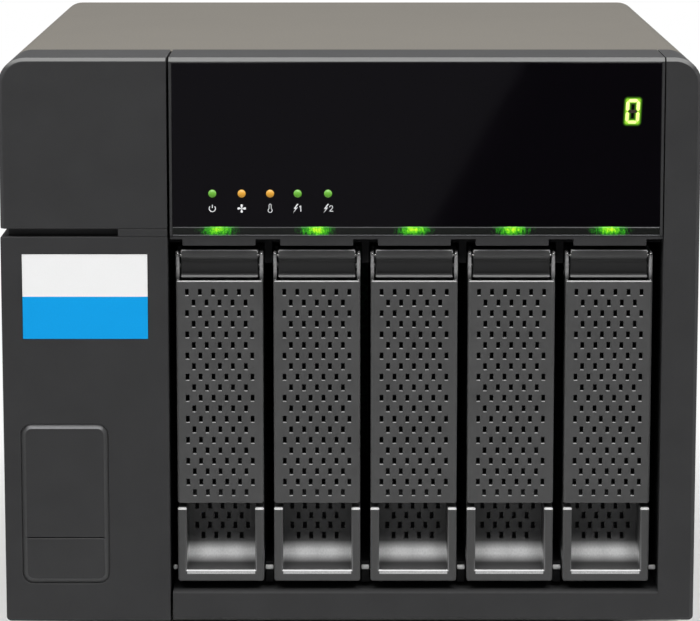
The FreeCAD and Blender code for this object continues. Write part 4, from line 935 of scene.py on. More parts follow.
@dataclass(frozen=True)
class Edge:
    """How the edges of a construction node are rounded for its finished piece."""

    width: float = 0.22 * MM
    segments: int = 2
    angle: float = 33.0

    def plain(self, node: str) -> bpy.types.Object:
        """Copies a node as one closed mesh with flat faces whole.

        Args:
            node: Name of the construction node.

        Returns:
            The copy, without finish or body.
        """
        bm = bmesh.new()
        bm.from_mesh(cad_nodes()[node].data)
        bmesh.ops.remove_doubles(bm, verts=bm.verts, dist=2e-6)
        bmesh.ops.dissolve_limit(bm, angle_limit=math.radians(0.4), verts=bm.verts, edges=bm.edges)
        bm.verts.index_update()
        points = [vertex.co[:] for vertex in bm.verts]
        faces = [[vertex.index for vertex in face.verts] for face in bm.faces]
        bm.free()
        mesh = bpy.data.meshes.new(node)
        mesh.from_pydata(points, [], faces)
        mesh.validate()
        return link_piece(f"{node}_finished", mesh)

    def soften(
        self,
        obj: bpy.types.Object,
        spared: tuple[Point, Point] | None = None,
        longest: float = 2.2 * MM,
        flat: float | None = None,
    ) -> bpy.types.Object:
        """Rounds or chamfers the hard edges of a piece.

        Args:
            obj: Piece with sharp edges.
            spared: Box whose short edges stay as they are, such as those of slots.
            longest: Length up to which an edge in that box is spared.
            flat: Depth along y of a back face whose outline stays sharp, if any.

        Returns:
            The same piece, with its edges broken.
        """
        bm = bmesh.new()
        bm.from_mesh(obj.data)
        layers = bm.edges.layers.float
        weight = layers.get("bevel_weight_edge") or layers.new("bevel_weight_edge")
        for edge in bm.edges:
            hard = len(edge.link_faces) == 2 and edge.calc_face_angle(0.0) > math.radians(self.angle)
            if hard and spared and edge.calc_length() <= longest:
                middle = (edge.verts[0].co + edge.verts[1].co) / 2
                hard = not all(low <= value <= high for low, value, high in zip(spared[0], middle, spared[1]))
            if hard and flat is not None:
                hard = any(abs(vertex.co.y - flat) > 0.01 * MM for vertex in edge.verts)
            edge[weight] = 1.0 if hard else 0.0
        bm.to_mesh(obj.data)
        bm.free()
        obj.data.shade_smooth()
        obj.data.set_sharp_from_angle(angle=math.radians(50.0))
        bevel = obj.modifiers.new("edge", "BEVEL")
        bevel.width = self.width
        bevel.segments = self.segments
        bevel.limit_method = "WEIGHT"
        bevel.use_clamp_overlap = False
        bevel.harden_normals = False
        normals = obj.modifiers.new("normals", "WEIGHTED_NORMAL")
        normals.weight = 100
        normals.keep_sharp = True
        bake(obj)
        return obj

    def copy(self, node: str) -> bpy.types.Object:
        """Copies a node and rounds its edges."""
        return self.soften(self.plain(node))

    def refine(self, finish: Finish, *nodes: str) -> None:
        """Puts a rounded and finished piece in the place of each of these chassis nodes."""
        for node in nodes:
            dress(self.copy(node), finish, stands_for=[node])


def make_piece(
    bm: bmesh.types.BMesh,
    name: str,
    finish: Finish,
    angle: float = 32.0,
    body: str = CHASSIS,
    stands_for: Iterable[str] = (),
) -> None:
    """Turns a mesh in the making into a dressed piece.

    Args:
        bm: Mesh in the making, which is freed.
        name: Name of the piece.
        finish: Its finish.
        angle: Edges sharper than this many degrees stay hard.
        body: Name of the body it rides on.
        stands_for: Construction nodes that it replaces.
    """
    dress(link_piece(name, finished(bm, name, angle)), finish, body, stands_for)


def shifted(mesh: bpy.types.Mesh, name: str, offset: Vector) -> bpy.types.Object:
    """Copies a finished mesh to another place.

    Args:
        mesh: Mesh to copy.
        name: Name of the new piece.
        offset: How far the copy moves.

    Returns:
        The new piece.
    """
    copy = mesh.copy()
    copy.transform(Matrix.Translation(offset))
    return link_piece(name, copy)


_FRAME: dict[str, object] = {}


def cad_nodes() -> dict[str, bpy.types.Object]:
    """The construction nodes by name."""
    return _FRAME["nodes"]


def offset_between(first: str, other: str) -> Vector:
    """How far one construction node lies from another of the same shape."""
    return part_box(other)[0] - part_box(first)[0]


def face_centre(node: str) -> Pair:
    """Middle of a construction node as x and z."""
    low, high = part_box(node)
    return (low.x + high.x) / 2, (low.z + high.z) / 2


# ---------------------------------------------------------------- repeated shapes


class Recipe(Bench):
    """A geometry node tree in the making, with named inputs."""

    def __init__(self, name: str) -> None:
        """Starts a tree that takes and gives geometry.

        Args:
            name: Name of the tree.
        """
        super().__init__(bpy.data.node_groups.new(name, "GeometryNodeTree"))
        for way in ("INPUT", "OUTPUT"):
            self.tree.interface.new_socket("Geometry", in_out=way, socket_type="NodeSocketGeometry")
        self.start = self.add("NodeGroupInput")
        self.end = self.add("NodeGroupOutput")

    def take(self, name: str, kind: str, value: object = None) -> Signal:
        """Adds a named input.

        Args:
            name: Name of the input.
            kind: Float, Int, Vector or Material.
            value: Its default.

        Returns:
            What the input gives.
        """
        item = self.tree.interface.new_socket(name, in_out="INPUT", socket_type=f"NodeSocket{kind}")
        if value is not None:
            item.default_value = value
        return Signal(self, self.start.outputs[name])

    def vector(self, **parts: object) -> Socket:
        """A vector from its parts X, Y and Z, each nought unless given."""
        return self.out("ShaderNodeCombineXYZ", parts)

    def moved(self, geometry: Socket, angle: float, place: object) -> Socket:
        """Turns geometry about x by an angle and moves it to a place."""
        inputs = {"Geometry": geometry, "Rotation": (angle, 0.0, 0.0), "Translation": place}
        return self.out("GeometryNodeTransform", inputs)

    def spread(self, points: Socket, shape: Socket, inputs: Feeds | None = None) -> Socket:
        """Puts a shape on each point, as real geometry.

        Args:
            points: The points.
            shape: The shape.
            inputs: Its rotation or scale on each point, by name of the input.

        Returns:
            The copies.
        """
        feeds = {"Points": points, "Instance": shape, **(inputs or {})}
        return self.out("GeometryNodeRealizeInstances", {0: self.out("GeometryNodeInstanceOnPoints", feeds)})

    def joined(self, *parts: Socket) -> Socket:
        """Puts geometries together.

        Args:
            parts: The geometries, in order.

        Returns:
            All of them as one.
        """
        node = self.add("GeometryNodeJoinGeometry")
        for part in parts:
            self.tree.links.new(part, node.inputs[0])
        return node.outputs[0]

    def close(self, geometry: Socket, material: Signal) -> None:
        """Ends the tree in real geometry with its material.

        Args:
            geometry: Result so far.
            material: Material for all of it.
        """
        real = self.out("GeometryNodeRealizeInstances", {"Geometry": geometry})
        coat = self.out("GeometryNodeSetMaterial", {"Geometry": real, "Material": material})
        self.tree.links.new(coat, self.end.inputs[0])

    def run(self, obj: bpy.types.Object, values: dict[str, object]) -> bpy.types.Mesh:
        """Runs the tree on an object and keeps the result as a plain mesh.

        Args:
            obj: Object to run it on.
            values: Inputs by name.

        Returns:
            The resulting mesh.
        """
        modifier = obj.modifiers.new(self.tree.name, "NODES")
        modifier.node_group = self.tree
        for item in self.tree.interface.items_tree:
            if item.in_out == "INPUT" and item.name in values:
                modifier[item.identifier] = values[item.name]
        obj.update_tag()
        return bake(obj)


@dataclass(frozen=True)
class SlotPattern:
    """Sizes of a staggered pattern of slots, each with a small ledge below it."""

    slot: Point
    pitch: Pair
    first_row: float
    wide_row: int
    row_pairs: int
    ledge: float
    face: float
    depth: float
    zone: Pair

    def centre(self, middle: float) -> Point:
        """Middle of the pattern.

        Args:
            middle: Its place along x.

        Returns:
            The point.
        """
        lowest = self.first_row - (2 * self.row_pairs - 1) * self.pitch[1]
        return (middle, self.depth, (self.first_row + lowest) / 2)

    def around(self, middle: float) -> tuple[Point, Point]:
        """Box round the pattern, in which short edges belong to the slots.

        Args:
            middle: Place of the pattern along x.

        Returns:
            The lowest and the highest corner.
        """
        centre, reach = Vector(self.centre(middle)), Vector((self.zone[0], 4.0 * MM, self.zone[1]))
        return tuple(centre - reach), tuple(centre + reach)


class Perforation:
    """Rows of slots cut through an upright wall, each row shifted by half a pitch."""

    def __init__(self) -> None:
        """Builds the tree."""
        recipe = Recipe("staggered_perforation")
        centre = recipe.take("Centre", "Vector")
        across = recipe.take("Across", "Float", 0.004)
        down = recipe.take("Down", "Float", 0.003)
        wide = recipe.take("Wide row", "Int", 6)
        pairs = recipe.take("Row pairs", "Int", 10)
        size = recipe.take("Slot size", "Vector")
        ledge = recipe.take("Ledge size", "Vector")
        sill = recipe.take("Ledge place", "Vector")
        coat = recipe.take("Material", "Material")
        rows = []
        for odd in (0, 1):
            count = wide - float(odd)
            sizes = {"Size X": (count - 1.0) * across, "Size Y": (pairs - 1.0) * down * 2.0}
            grid = recipe.out("GeometryNodeMeshGrid", {**sizes, "Vertices X": count, "Vertices Y": pairs})
            shift = recipe.vector(Z=down * (0.5 - odd))
            place = recipe.out("ShaderNodeVectorMath", {0: shift, 1: centre}, operation="ADD")
            rows.append(recipe.moved(grid, math.pi / 2, place))
        cutter = recipe.out("GeometryNodeMeshCube", {"Size": size})
        wedge = recipe.moved(recipe.out("GeometryNodeMeshCube", {"Size": ledge}), math.pi / 4, sill)
        cutters = recipe.spread(recipe.joined(*rows), recipe.joined(cutter, wedge))
        cut = recipe.out(
            "GeometryNodeMeshBoolean",
            {"Mesh 1": recipe.start.outputs[0], "Mesh 2": cutters, "Self Intersection": True},
            operation="DIFFERENCE",
            solver="EXACT",
        )
        recipe.close(cut, coat)
        self.recipe = recipe

    def pierce(self, obj: bpy.types.Object, finish: Finish, pattern: SlotPattern, middle: float) -> None:
        """Cuts the slots through a piece.

        Args:
            obj: Piece to pierce.
            finish: Its finish.
            pattern: Sizes of the pattern.
            middle: Place of the pattern along x.
        """
        side = pattern.ledge * math.sqrt(2.0)
        values = {
            "Ledge size": (pattern.slot[0] * 0.985, side, side),
            "Ledge place": (0.0, pattern.face - pattern.depth, -pattern.slot[2] / 2),
            "Centre": pattern.centre(middle),
            "Across": pattern.pitch[0],
            "Down": pattern.pitch[1],
            "Wide row": pattern.wide_row,
            "Row pairs": pattern.row_pairs,
            "Slot size": pattern.slot,
            "Material": finish.material(),
        }
        self.recipe.run(obj, values)


class WireGuard:
    """Round wire rings held by spokes."""

    def __init__(self) -> None:
        """Builds the tree."""
        recipe = Recipe("wire_guard")
        rings = recipe.take("Rings", "Int", 6)
        smallest = recipe.take("Smallest", "Float", 0.010)
        step = recipe.take("Step", "Float", 0.008)
        outer = recipe.take("Outer", "Float", 0.058)
        wire = recipe.take("Wire", "Float", 0.0007)
        spokes = recipe.take("Spokes", "Int", 4)
        ring_place = recipe.take("Ring place", "Vector")
        spoke_place = recipe.take("Spoke place", "Vector")
        coat = recipe.take("Material", "Material")
        index = Signal(recipe, recipe.out("GeometryNodeInputIndex"))
        section = recipe.out("GeometryNodeCurvePrimitiveCircle", {"Resolution": 8, "Radius": wire})
        radius = smallest + index * step
        ring = recipe.out("GeometryNodeCurvePrimitiveCircle", {"Resolution": 88, "Radius": 1.0})
        angle = (index + 0.5) * recipe.maths("DIVIDE", 2.0 * math.pi, spokes)
        ends = {"Start": recipe.vector(X=smallest), "End": recipe.vector(X=outer)}
        spoke = recipe.out("GeometryNodeCurvePrimitiveLine", ends)
        parts = []
        for count, shape, extra, place in (
            (rings, ring, {"Scale": recipe.vector(X=radius, Y=radius, Z=radius)}, ring_place),
            (spokes, spoke, {"Rotation": recipe.vector(Z=angle)}, spoke_place),
        ):
            points = recipe.out("GeometryNodeMeshLine", {"Count": count, "Offset": (0.0, 0.0, 0.0)})
            curves = recipe.spread(points, shape, extra)
            even = recipe.out("GeometryNodeSetCurveRadius", {"Curve": curves, "Radius": 1.0})
            sweep = {"Curve": even, "Profile Curve": section, "Fill Caps": True}
            parts.append(recipe.moved(recipe.out("GeometryNodeCurveToMesh", sweep), math.pi / 2, place))
        recipe.close(recipe.joined(*parts), coat)
        self.recipe = recipe

    def wind(self, node: str, finish: Finish, rings: int, step: float, wire: float) -> None:
        """Makes one guard.

        Args:
            node: Construction node that it stands for.
            finish: Its finish.
            rings: Number of rings.
            step: Distance between rings.
            wire: Radius of the wire.
        """
        low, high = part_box(node)
        outer = (high.x - low.x) / 2 - (wire + 0.05 * MM)
        x, z = face_centre(node)
        obj = link_piece(f"{node}_wires", bpy.data.meshes.new(node))
        values = {
            "Rings": rings,
            "Smallest": outer - step * (rings - 1),
            "Step": step,
            "Outer": outer,
            "Wire": wire,
            "Ring place": (x, high.y - wire * 1.1, z),
            "Spoke place": (x, high.y - wire * 1.55, z),
            "Material": finish.material(),
        }
        bm = bmesh.new()
        bm.from_mesh(self.recipe.run(obj, values))
        obj.data = finished(bm, node, 50.0)
        dress(obj, finish, stands_for=[node])


# ---------------------------------------------------------------- sub-assemblies


@dataclass
class Shell:
    """The folded metal case: cover, base, back panel, feet and screws."""

    cover: Edge = Edge(0.28 * MM, 3)
    sheet: Edge = Edge(0.15 * MM, 2)
    foot: Edge = Edge(0.5 * MM, 3)

    def build(self) -> None:
        """Makes the case's pieces."""
        self.cover.refine(Palette.case, "top_cover")
        self.sheet.refine(Palette.case, "chassis_base", "rear_panel", "supply_bracket")
        self.foot.refine(Palette.rubber, "rubber_feet")
        self.sheet.refine(Palette.steel, "case_screws")
        # the drive cage is made near-black: painted shade deep inside the bays
        self.sheet.refine(Palette.shade, "drive_cage")


@dataclass
class Column:
    """The left front column with its panels, pad and blank label, and the bezel beside it."""

    edge: Edge = Edge(0.25 * MM, 3)
    fine: Edge = Edge(0.12 * MM, 2)
    paper: Edge = Edge(0.04 * MM, 1)
    plate: Edge = Edge(0.10 * MM, 1, 60.0)
    slope: float = 1.25 * MM
    depth: float = 0.70 * MM
    land: float = 0.08 * MM
    rim: float = 1.41 * MM
    corner: float = 3.225 * MM
    corner_steps: int = 9
    sill: float = 18.5 * MM
    sill_round: float = 0.85 * MM
    sill_drop: float = 1.3 * MM
    bay_margin: float = 4.0 * MM

    def build(self) -> None:
        """Makes the column's pieces."""
        dress(self.bezel(), Palette.front, stands_for=["front_bezel"])
        panels = ("left_upper_panel", "left_lower_panel", "column_frame", "column_strip")
        self.edge.refine(Palette.front, *panels)
        self.pad()
        self.paper.refine(Palette.paper, "label_sticker")

    def bezel(self) -> bpy.types.Object:
        """Copies the bezel, widens the dark gap under the trays and rounds its edges.

        Returns:
            The finished bezel.
        """
        obj = self.fine.plain("front_bezel")
        left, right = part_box("tray_1")[0].x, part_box(f"tray_{BAYS}")[1].x
        for vertex in obj.data.vertices:
            beside = left - self.bay_margin < vertex.co.x < right + self.bay_margin
            if beside and self.sill - self.sill_round < vertex.co.z < self.sill + 0.05 * MM:
                vertex.co.z -= self.sill_drop
        return self.fine.soften(obj)

    def outline(self, inset: float) -> list[Pair]:
        """Outline of the pad, taken in by some distance.

        Args:
            inset: The distance.

        Returns:
            Its corners as x and z, in order.
        """
        low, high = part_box("recess_frame")
        corners = (low.x + inset, low.z + inset), (high.x - inset, high.z - inset)
        return round_outline(*corners, self.corner - inset, self.corner_steps)

    def pad(self) -> None:
        """Makes the raised pad of the lower panel: a sloping rim round two flush plates."""
        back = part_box("upper_plate")[1].y
        bm = bmesh.new()
        rings = [
            [bm.verts.new((x, y, z)) for x, z in self.outline(inset)]
            for inset, y in (
                (0.0, back),
                (0.0, FRONT + self.depth),
                (self.slope, FRONT + self.land),
                (self.slope + self.land, FRONT),
                (self.rim, FRONT),
                (self.rim, back),
            )
        ]
        for ring, following in zip(rings, rings[1:] + rings[:1]):
            add_belt(bm, ring, following)
        # the rim's finish carries a painted highlight on its upper slope
        make_piece(bm, "pad_rim", Palette.rim, stands_for=["recess_frame"])
        whole = self.outline(self.rim)
        right, left = whole[0][0], whole[2 * self.corner_steps - 1][0]
        upper_end, lower_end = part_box("upper_plate")[0].z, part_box("lower_plate")[1].z
        half = 2 * self.corner_steps
        for node, name, outline in (
            ("upper_plate", "pad_upper", whole[:half] + [(left, upper_end), (right, upper_end)]),
            ("lower_plate", "pad_lower", whole[half:] + [(right, lower_end), (left, lower_end)]),
        ):
            bm = bmesh.new()
            add_slab(bm, outline, FRONT, back)
            mesh = finished(bm, name)
            mesh.shade_flat()
            dress(self.plate.soften(link_piece(name, mesh)), Palette.plate, stands_for=[node])


@dataclass
class Indicators:
    """The display band: window, frame, light guide, lamps, icons and digit."""

    lamp_places: tuple[float, ...] = (-41.38 * MM, -32.55 * MM, -24.01 * MM, -15.72 * MM, -6.59 * MM)
    lamp_level: float = 140.1 * MM
    lamp_radius: float = 1.2 * MM
    lamp_rise: float = 0.75 * MM
    mark_level: float = 135.6 * MM
    digit_centre: Pair = Palette.glass.centre
    digit_half: Pair = (2.055 * MM, 3.705 * MM)
    stroke: float = 0.95 * MM
    slant: float = Palette.glass.slant
    digit_front: float = FRONT - 0.05 * MM
    ink_front: float = FRONT - 0.02 * MM
    ink_back: float = FRONT + 0.2 * MM
    petal: tuple[Pair, ...] = (
        (0.12, -30.0), (0.85, -24.0), (1.22, -16.0), (1.32, 2.0), (1.20, 18.0), (0.75, 24.0), (0.12, 40.0),
    )
    flash: tuple[Pair, ...] = (
        (0.45, 1.40), (-0.62, -0.12), (-0.02, -0.06), (-0.78, -1.40),
        (0.66, 0.30), (0.04, 0.22), (0.92, 1.40),
    )

    def build(self) -> None:
        """Makes the band's pieces."""
        Edge(0.06 * MM, 1).refine(Palette.front, "display_frame")
        Edge(0.15 * MM, 2).refine(Palette.glass, "display_window")
        Edge(0.3 * MM, 3).refine(Palette.guide, "light_guide")
        Edge(0.2 * MM, 2).refine(Palette.front, "bay_comb")
        self.lamps()
        self.digit()
        self.icons()

    def lamps(self) -> None:
        """Makes the five status lamps: two amber ones among three green ones."""
        # each pair is the glow and the paler colour of the painted highlight at the lamp's top
        green = ((0.11, 0.34, 0.03), (0.22, 0.50, 0.10))
        amber = ((0.58, 0.28, 0.03), (0.74, 0.44, 0.10))
        turns = [math.radians(90.0 * step / 6) for step in range(7)]
        dome = [(self.lamp_radius * math.cos(turn) + 1e-5, self.lamp_rise * math.sin(turn)) for turn in turns]
        profile = [(self.lamp_radius + 1e-5, -0.5 * MM), *dome]
        for number, (glow, pale) in enumerate((green, amber, amber, green, green), 1):
            bm = bmesh.new()
            centre = (self.lamp_places[number - 1], FRONT, self.lamp_level)
            add_lathe(bm, profile, centre, Axis.Y, 28, -1.0)
            finish = LampFinish(
                f"lamp_lens_{number}",
                "lamp_green",
                scaled(glow, 0.35),
                0.30,
                low=self.lamp_level - self.lamp_radius,
                high=self.lamp_level + self.lamp_radius,
                glow=glow,
                pale=pale,
            )
            make_piece(bm, f"status_lamp_{number}", finish, 60.0)

    def segment(self, bm: bmesh.types.BMesh, start: Pair, end: Pair) -> None:
        """Adds one six-sided bar of the digit.

        Args:
            bm: Mesh to add to.
            start: One tip, from the digit's centre, as x and z.
            end: The other tip.
        """
        a, b = Vector((*start, 0.0)), Vector((*end, 0.0))
        along = (b - a).normalized()
        side = Vector((-along.y, along.x, 0.0)) * self.stroke / 2
        bevel = along * self.stroke / 2
        tips = [a, a + bevel + side, b - bevel + side, b, b - bevel - side, a + bevel - side]
        x, z = self.digit_centre
        outline = [(x + p.x + p.y * self.slant, z + p.y) for p in tips]
        add_slab(bm, outline, self.digit_front, self.ink_back)

    def digit(self) -> None:
        """Makes the seven bars of the digit, six of them lit to show a nought."""
        w, h = self.digit_half[0] - self.stroke / 2, self.digit_half[1] - self.stroke / 2
        gap = 0.12 * MM
        bm = bmesh.new()
        for z in (h, -h):
            self.segment(bm, (-w + gap, z), (w - gap, z))
        for low, high in ((gap, h - gap), (-h + gap, -gap)):
            for x in (-w, w):
                self.segment(bm, (x, low), (x, high))
        # the digit's glow also runs from painted shade low to a painted highlight at its top
        tones = {"glow": (0.86, 1.0, 0.24), "pale": (0.9, 1.0, 0.34)}
        lit = LampFinish("digit_lit", "lamp_green", (0.5, 0.6, 0.2), 0.4, low=0.158, high=0.172, **tones)
        make_piece(bm, "digit_bars", lit, 20.0)
        bm = bmesh.new()
        self.segment(bm, (-w + gap, 0.0), (w - gap, 0.0))
        unlit = Finish("digit_unlit", "guide_dark", (0.045, 0.032, 0.02), 0.4)
        make_piece(bm, "digit_middle_bar", unlit, 20.0)

    def icons(self) -> None:
        """Makes the printed marks below the lamps: power, fan, heat, and two numbered supplies."""
        level = self.mark_level
        power, fan, heat, *supplies = self.lamp_places
        bm = bmesh.new()
        self.ring(bm, power, level, 0.95 * MM, 0.28 * MM, 50.0, 310.0)
        self.bar(bm, power, level, 0.14 * MM, 0.1 * MM, 1.15 * MM)
        for turn in range(4):
            outline = []
            for radius, angle in self.petal:
                spot = math.radians(angle + 90.0 * turn)
                outline.append((fan + radius * MM * math.cos(spot), level + radius * MM * math.sin(spot)))
            self.stamp(bm, outline)
        self.ring(bm, heat, level - 0.58 * MM, 0.62 * MM, 0.22 * MM, 28.0, 332.0)
        self.ring(bm, heat, level + 1.02 * MM, 0.32 * MM, 0.18 * MM, -90.0, 90.0)
        for side in (-1.0, 1.0):
            self.bar(bm, heat + side * 0.32 * MM, level, 0.09 * MM, -0.14 * MM, 1.02 * MM)
        for number, x in enumerate(supplies, 1):
            self.bolt(bm, x - 0.62 * MM, level)
            self.numeral(bm, number, x + 0.95 * MM, level)
        white = Finish("printed_white", "label_paper", (0.86, 0.87, 0.88), 0.5)
        make_piece(bm, "status_marks", white, 20.0)

    def stamp(self, bm: bmesh.types.BMesh, outline: Sequence[Pair]) -> None:
        """Adds a printed shape, from its outline as x and z."""
        add_slab(bm, outline, self.ink_front, self.ink_back)

    def bar(self, bm: bmesh.types.BMesh, x: float, z: float, half: float, low: float, high: float) -> None:
        """Adds an upright printed bar.

        Args:
            bm: Mesh to add to.
            x: Its centre along x.
            z: Level from which its ends are taken.
            half: Half its width.
            low: Its lower end.
            high: Its upper end.
        """
        add_block(bm, (x - half, self.ink_front, z + low), (x + half, self.ink_back, z + high))

    def ring(
        self, bm: bmesh.types.BMesh, x: float, z: float, radius: float, width: float, start: float, end: float
    ) -> None:
        """Adds an arc of a printed ring.

        Args:
            bm: Mesh to add to.
            x: Centre along x.
            z: Centre along z.
            radius: Middle radius.
            width: Width of the line.
            start: First angle from straight up, in degrees.
            end: Last angle.
        """
        steps = 18
        for i in range(steps):
            corners = []
            for share, rim in ((i, 0.5), (i + 1, 0.5), (i + 1, -0.5), (i, -0.5)):
                angle = math.radians(start + (end - start) * share / steps + 90.0)
                reach = radius + rim * min(width, 2 * radius)
                corners.append((x + reach * math.cos(angle), z + reach * math.sin(angle)))
            self.stamp(bm, corners)

    def bolt(self, bm: bmesh.types.BMesh, x: float, z: float) -> None:
        """Adds a small lightning bolt, the sign for mains power."""
        self.stamp(bm, [(x + px * MM, z + pz * MM) for px, pz in self.flash])

    def numeral(self, bm: bmesh.types.BMesh, number: int, x: float, z: float) -> None:
        """Adds the plain numeral 1 or 2, as short strokes.

        Args:
            bm: Mesh to add to.
            number: The numeral, 1 or 2.
            x: Its centre along x.
            z: Its centre along z.
        """
        hook = ((-0.50, 0.45), (-0.36, 0.74), (0.0, 0.86), (0.36, 0.72), (0.46, 0.38), (0.30, 0.02))
        strokes = {
            1: ((-0.42, 0.50), (-0.02, 0.88), (-0.02, -0.88)),
            2: (*hook, (-0.50, -0.82), (0.52, -0.82)),
        }
        points = [Vector((x + px * MM, z + pz * MM)) for px, pz in strokes[number]]
        for start, end in zip(points, points[1:]):
            along = (end - start).normalized() * 0.07 * MM
            side = Vector((-along.y, along.x)) * 1.7
            corners = (start - along + side, end + along + side, end + along - side, start - along - side)
            self.stamp(bm, [tuple(corner) for corner in corners])


@dataclass
class Trays:
    """Five sliding trays with their perforated lever handles, pins and drives."""

    edge: Edge = Edge(0.34 * MM, 1)
    handle_slots: SlotPattern = SlotPattern(
        slot=(1.15 * MM, 3.0 * MM, 1.9 * MM),
        pitch=(3.94 * MM, 3.26 * MM),
        first_row=109.84 * MM,
        wide_row=6,
        row_pairs=10,
        ledge=0.42 * MM,
        face=FRONT + 2.0 * MM,
        depth=FRONT + 2.6 * MM,
        zone=(11.5 * MM, 33.0 * MM),
    )
    scoop_slots: SlotPattern = SlotPattern(
        slot=(1.15 * MM, 5.0 * MM, 1.9 * MM),
        pitch=(3.94 * MM, 3.05 * MM),
        first_row=40.6 * MM,
        wide_row=5,
        row_pairs=2,
        ledge=0.15 * MM,
        face=FRONT + 16.0 * MM,
        depth=FRONT + 15.6 * MM,
        zone=(10.0 * MM, 8.0 * MM),
    )
    block_depth: float = 17.5 * MM
    scoop_wall: float = 4.0 * MM
    perforation: Perforation = field(default_factory=Perforation)

    def build(self) -> None:
        """Makes one of each piece and copies it to every bay."""
        handle = self.pierced("handle_1", Palette.handle, self.handle_slots)
        self.edge.soften(handle, self.handle_slots.around(self.middle()))
        tray = self.pierced("tray_1", Palette.tray, self.scoop_slots)
        zone = self.scoop_slots.around(self.middle())
        self.edge.soften(tray, zone, self.scoop_wall, FRONT + self.block_depth)
        pin = Edge(0.1 * MM, 2).copy("hinge_pin_1")
        drive = Edge(0.3 * MM, 2).copy("drive_1")
        for number in range(1, BAYS + 1):
            offset = offset_between("tray_1", f"tray_{number}")
            for kind, source, finish, body in (
                ("tray", tray, Palette.tray, tray_body(number)),
                ("handle", handle, Palette.handle, handle_body(number)),
                ("hinge_pin", pin, Palette.steel, tray_body(number)),
                ("drive", drive, Palette.drive, tray_body(number)),
            ):
                node = f"{kind}_{number}"
                dress(shifted(source.data, f"{node}_piece", offset), finish, body, [node])
            self.tips(number, offset)
        for spare in (handle, tray, pin, drive):
            bpy.data.objects.remove(spare)
        self.studs()

    def middle(self) -> float:
        """Centre line of the first bay."""
        return face_centre("handle_1")[0]

    def pierced(self, node: str, finish: Finish, pattern: SlotPattern) -> bpy.types.Object:
        """Copies a node of the first bay and cuts its slots.

        Args:
            node: Name of the node.
            finish: Its finish.
            pattern: Its slots.

        Returns:
            The copy, with sharp edges.
        """
        source = self.edge.plain(node)
        self.perforation.pierce(source, finish, pattern, self.middle())
        return source

    def tips(self, number: int, offset: Vector) -> None:
        """Makes the polished tips beside the head: one on each arm, one on each corner of the tray.

        Args:
            number: Number of the bay.
            offset: How far the bay lies from the first.
        """
        centre = self.middle() + offset.x
        for kind, body, aside, level, depth, radius in (
            ("arm_tip", handle_body(number), 12.62, 121.25, 3.55, 0.46),
            ("head_tip", tray_body(number), 11.72, 120.95, 3.30, 0.40),
        ):
            bm = bmesh.new()
            for side in (-1.0, 1.0):
                spot = Vector((centre + side * aside * MM, FRONT + depth * MM, level * MM))
                place = Matrix.Translation(spot)
                bmesh.ops.create_uvsphere(bm, u_segments=14, v_segments=9, radius=radius * MM, matrix=place)
            make_piece(bm, f"{kind}_{number}", Palette.steel, 70.0, body)

    def studs(self) -> None:
        """Makes the glossy guide studs low in the gaps beside the trays; their near-white colour is a painted
        glint.
        """
        bm = bmesh.new()
        pitch = offset_between("tray_1", "tray_2").x
        for i in range(BAYS - 1):
            x = self.middle() + (i + 0.5) * pitch
            self.stud(bm, x - 1.28 * MM, x + 1.28 * MM)
        low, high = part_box("tray_1")[0].x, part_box(f"tray_{BAYS}")[1].x
        self.stud(bm, low - 1.7 * MM, low - 0.35 * MM)
        self.stud(bm, high + 0.35 * MM, high + 2.6 * MM)
        make_piece(bm, "guide_studs", Palette.stud, 50.0)

    def stud(self, bm: bmesh.types.BMesh, start: float, end: float) -> None:
        """Adds one stud with round ends.

        Args:
            bm: Mesh to add to.
            start: Its left end along x.
            end: Its right end along x.
        """
        radius, cap, length = 0.75 * MM, 0.3 * MM, end - start
        near = [(radius * 0.35, 0.0), (radius * 0.8, cap * 0.35), (radius, cap)]
        far = [(ring, length - along) for ring, along in reversed(near)]
        add_lathe(bm, near + far, (start, FRONT + 6.9 * MM, 23.3 * MM), Axis.X, 18)


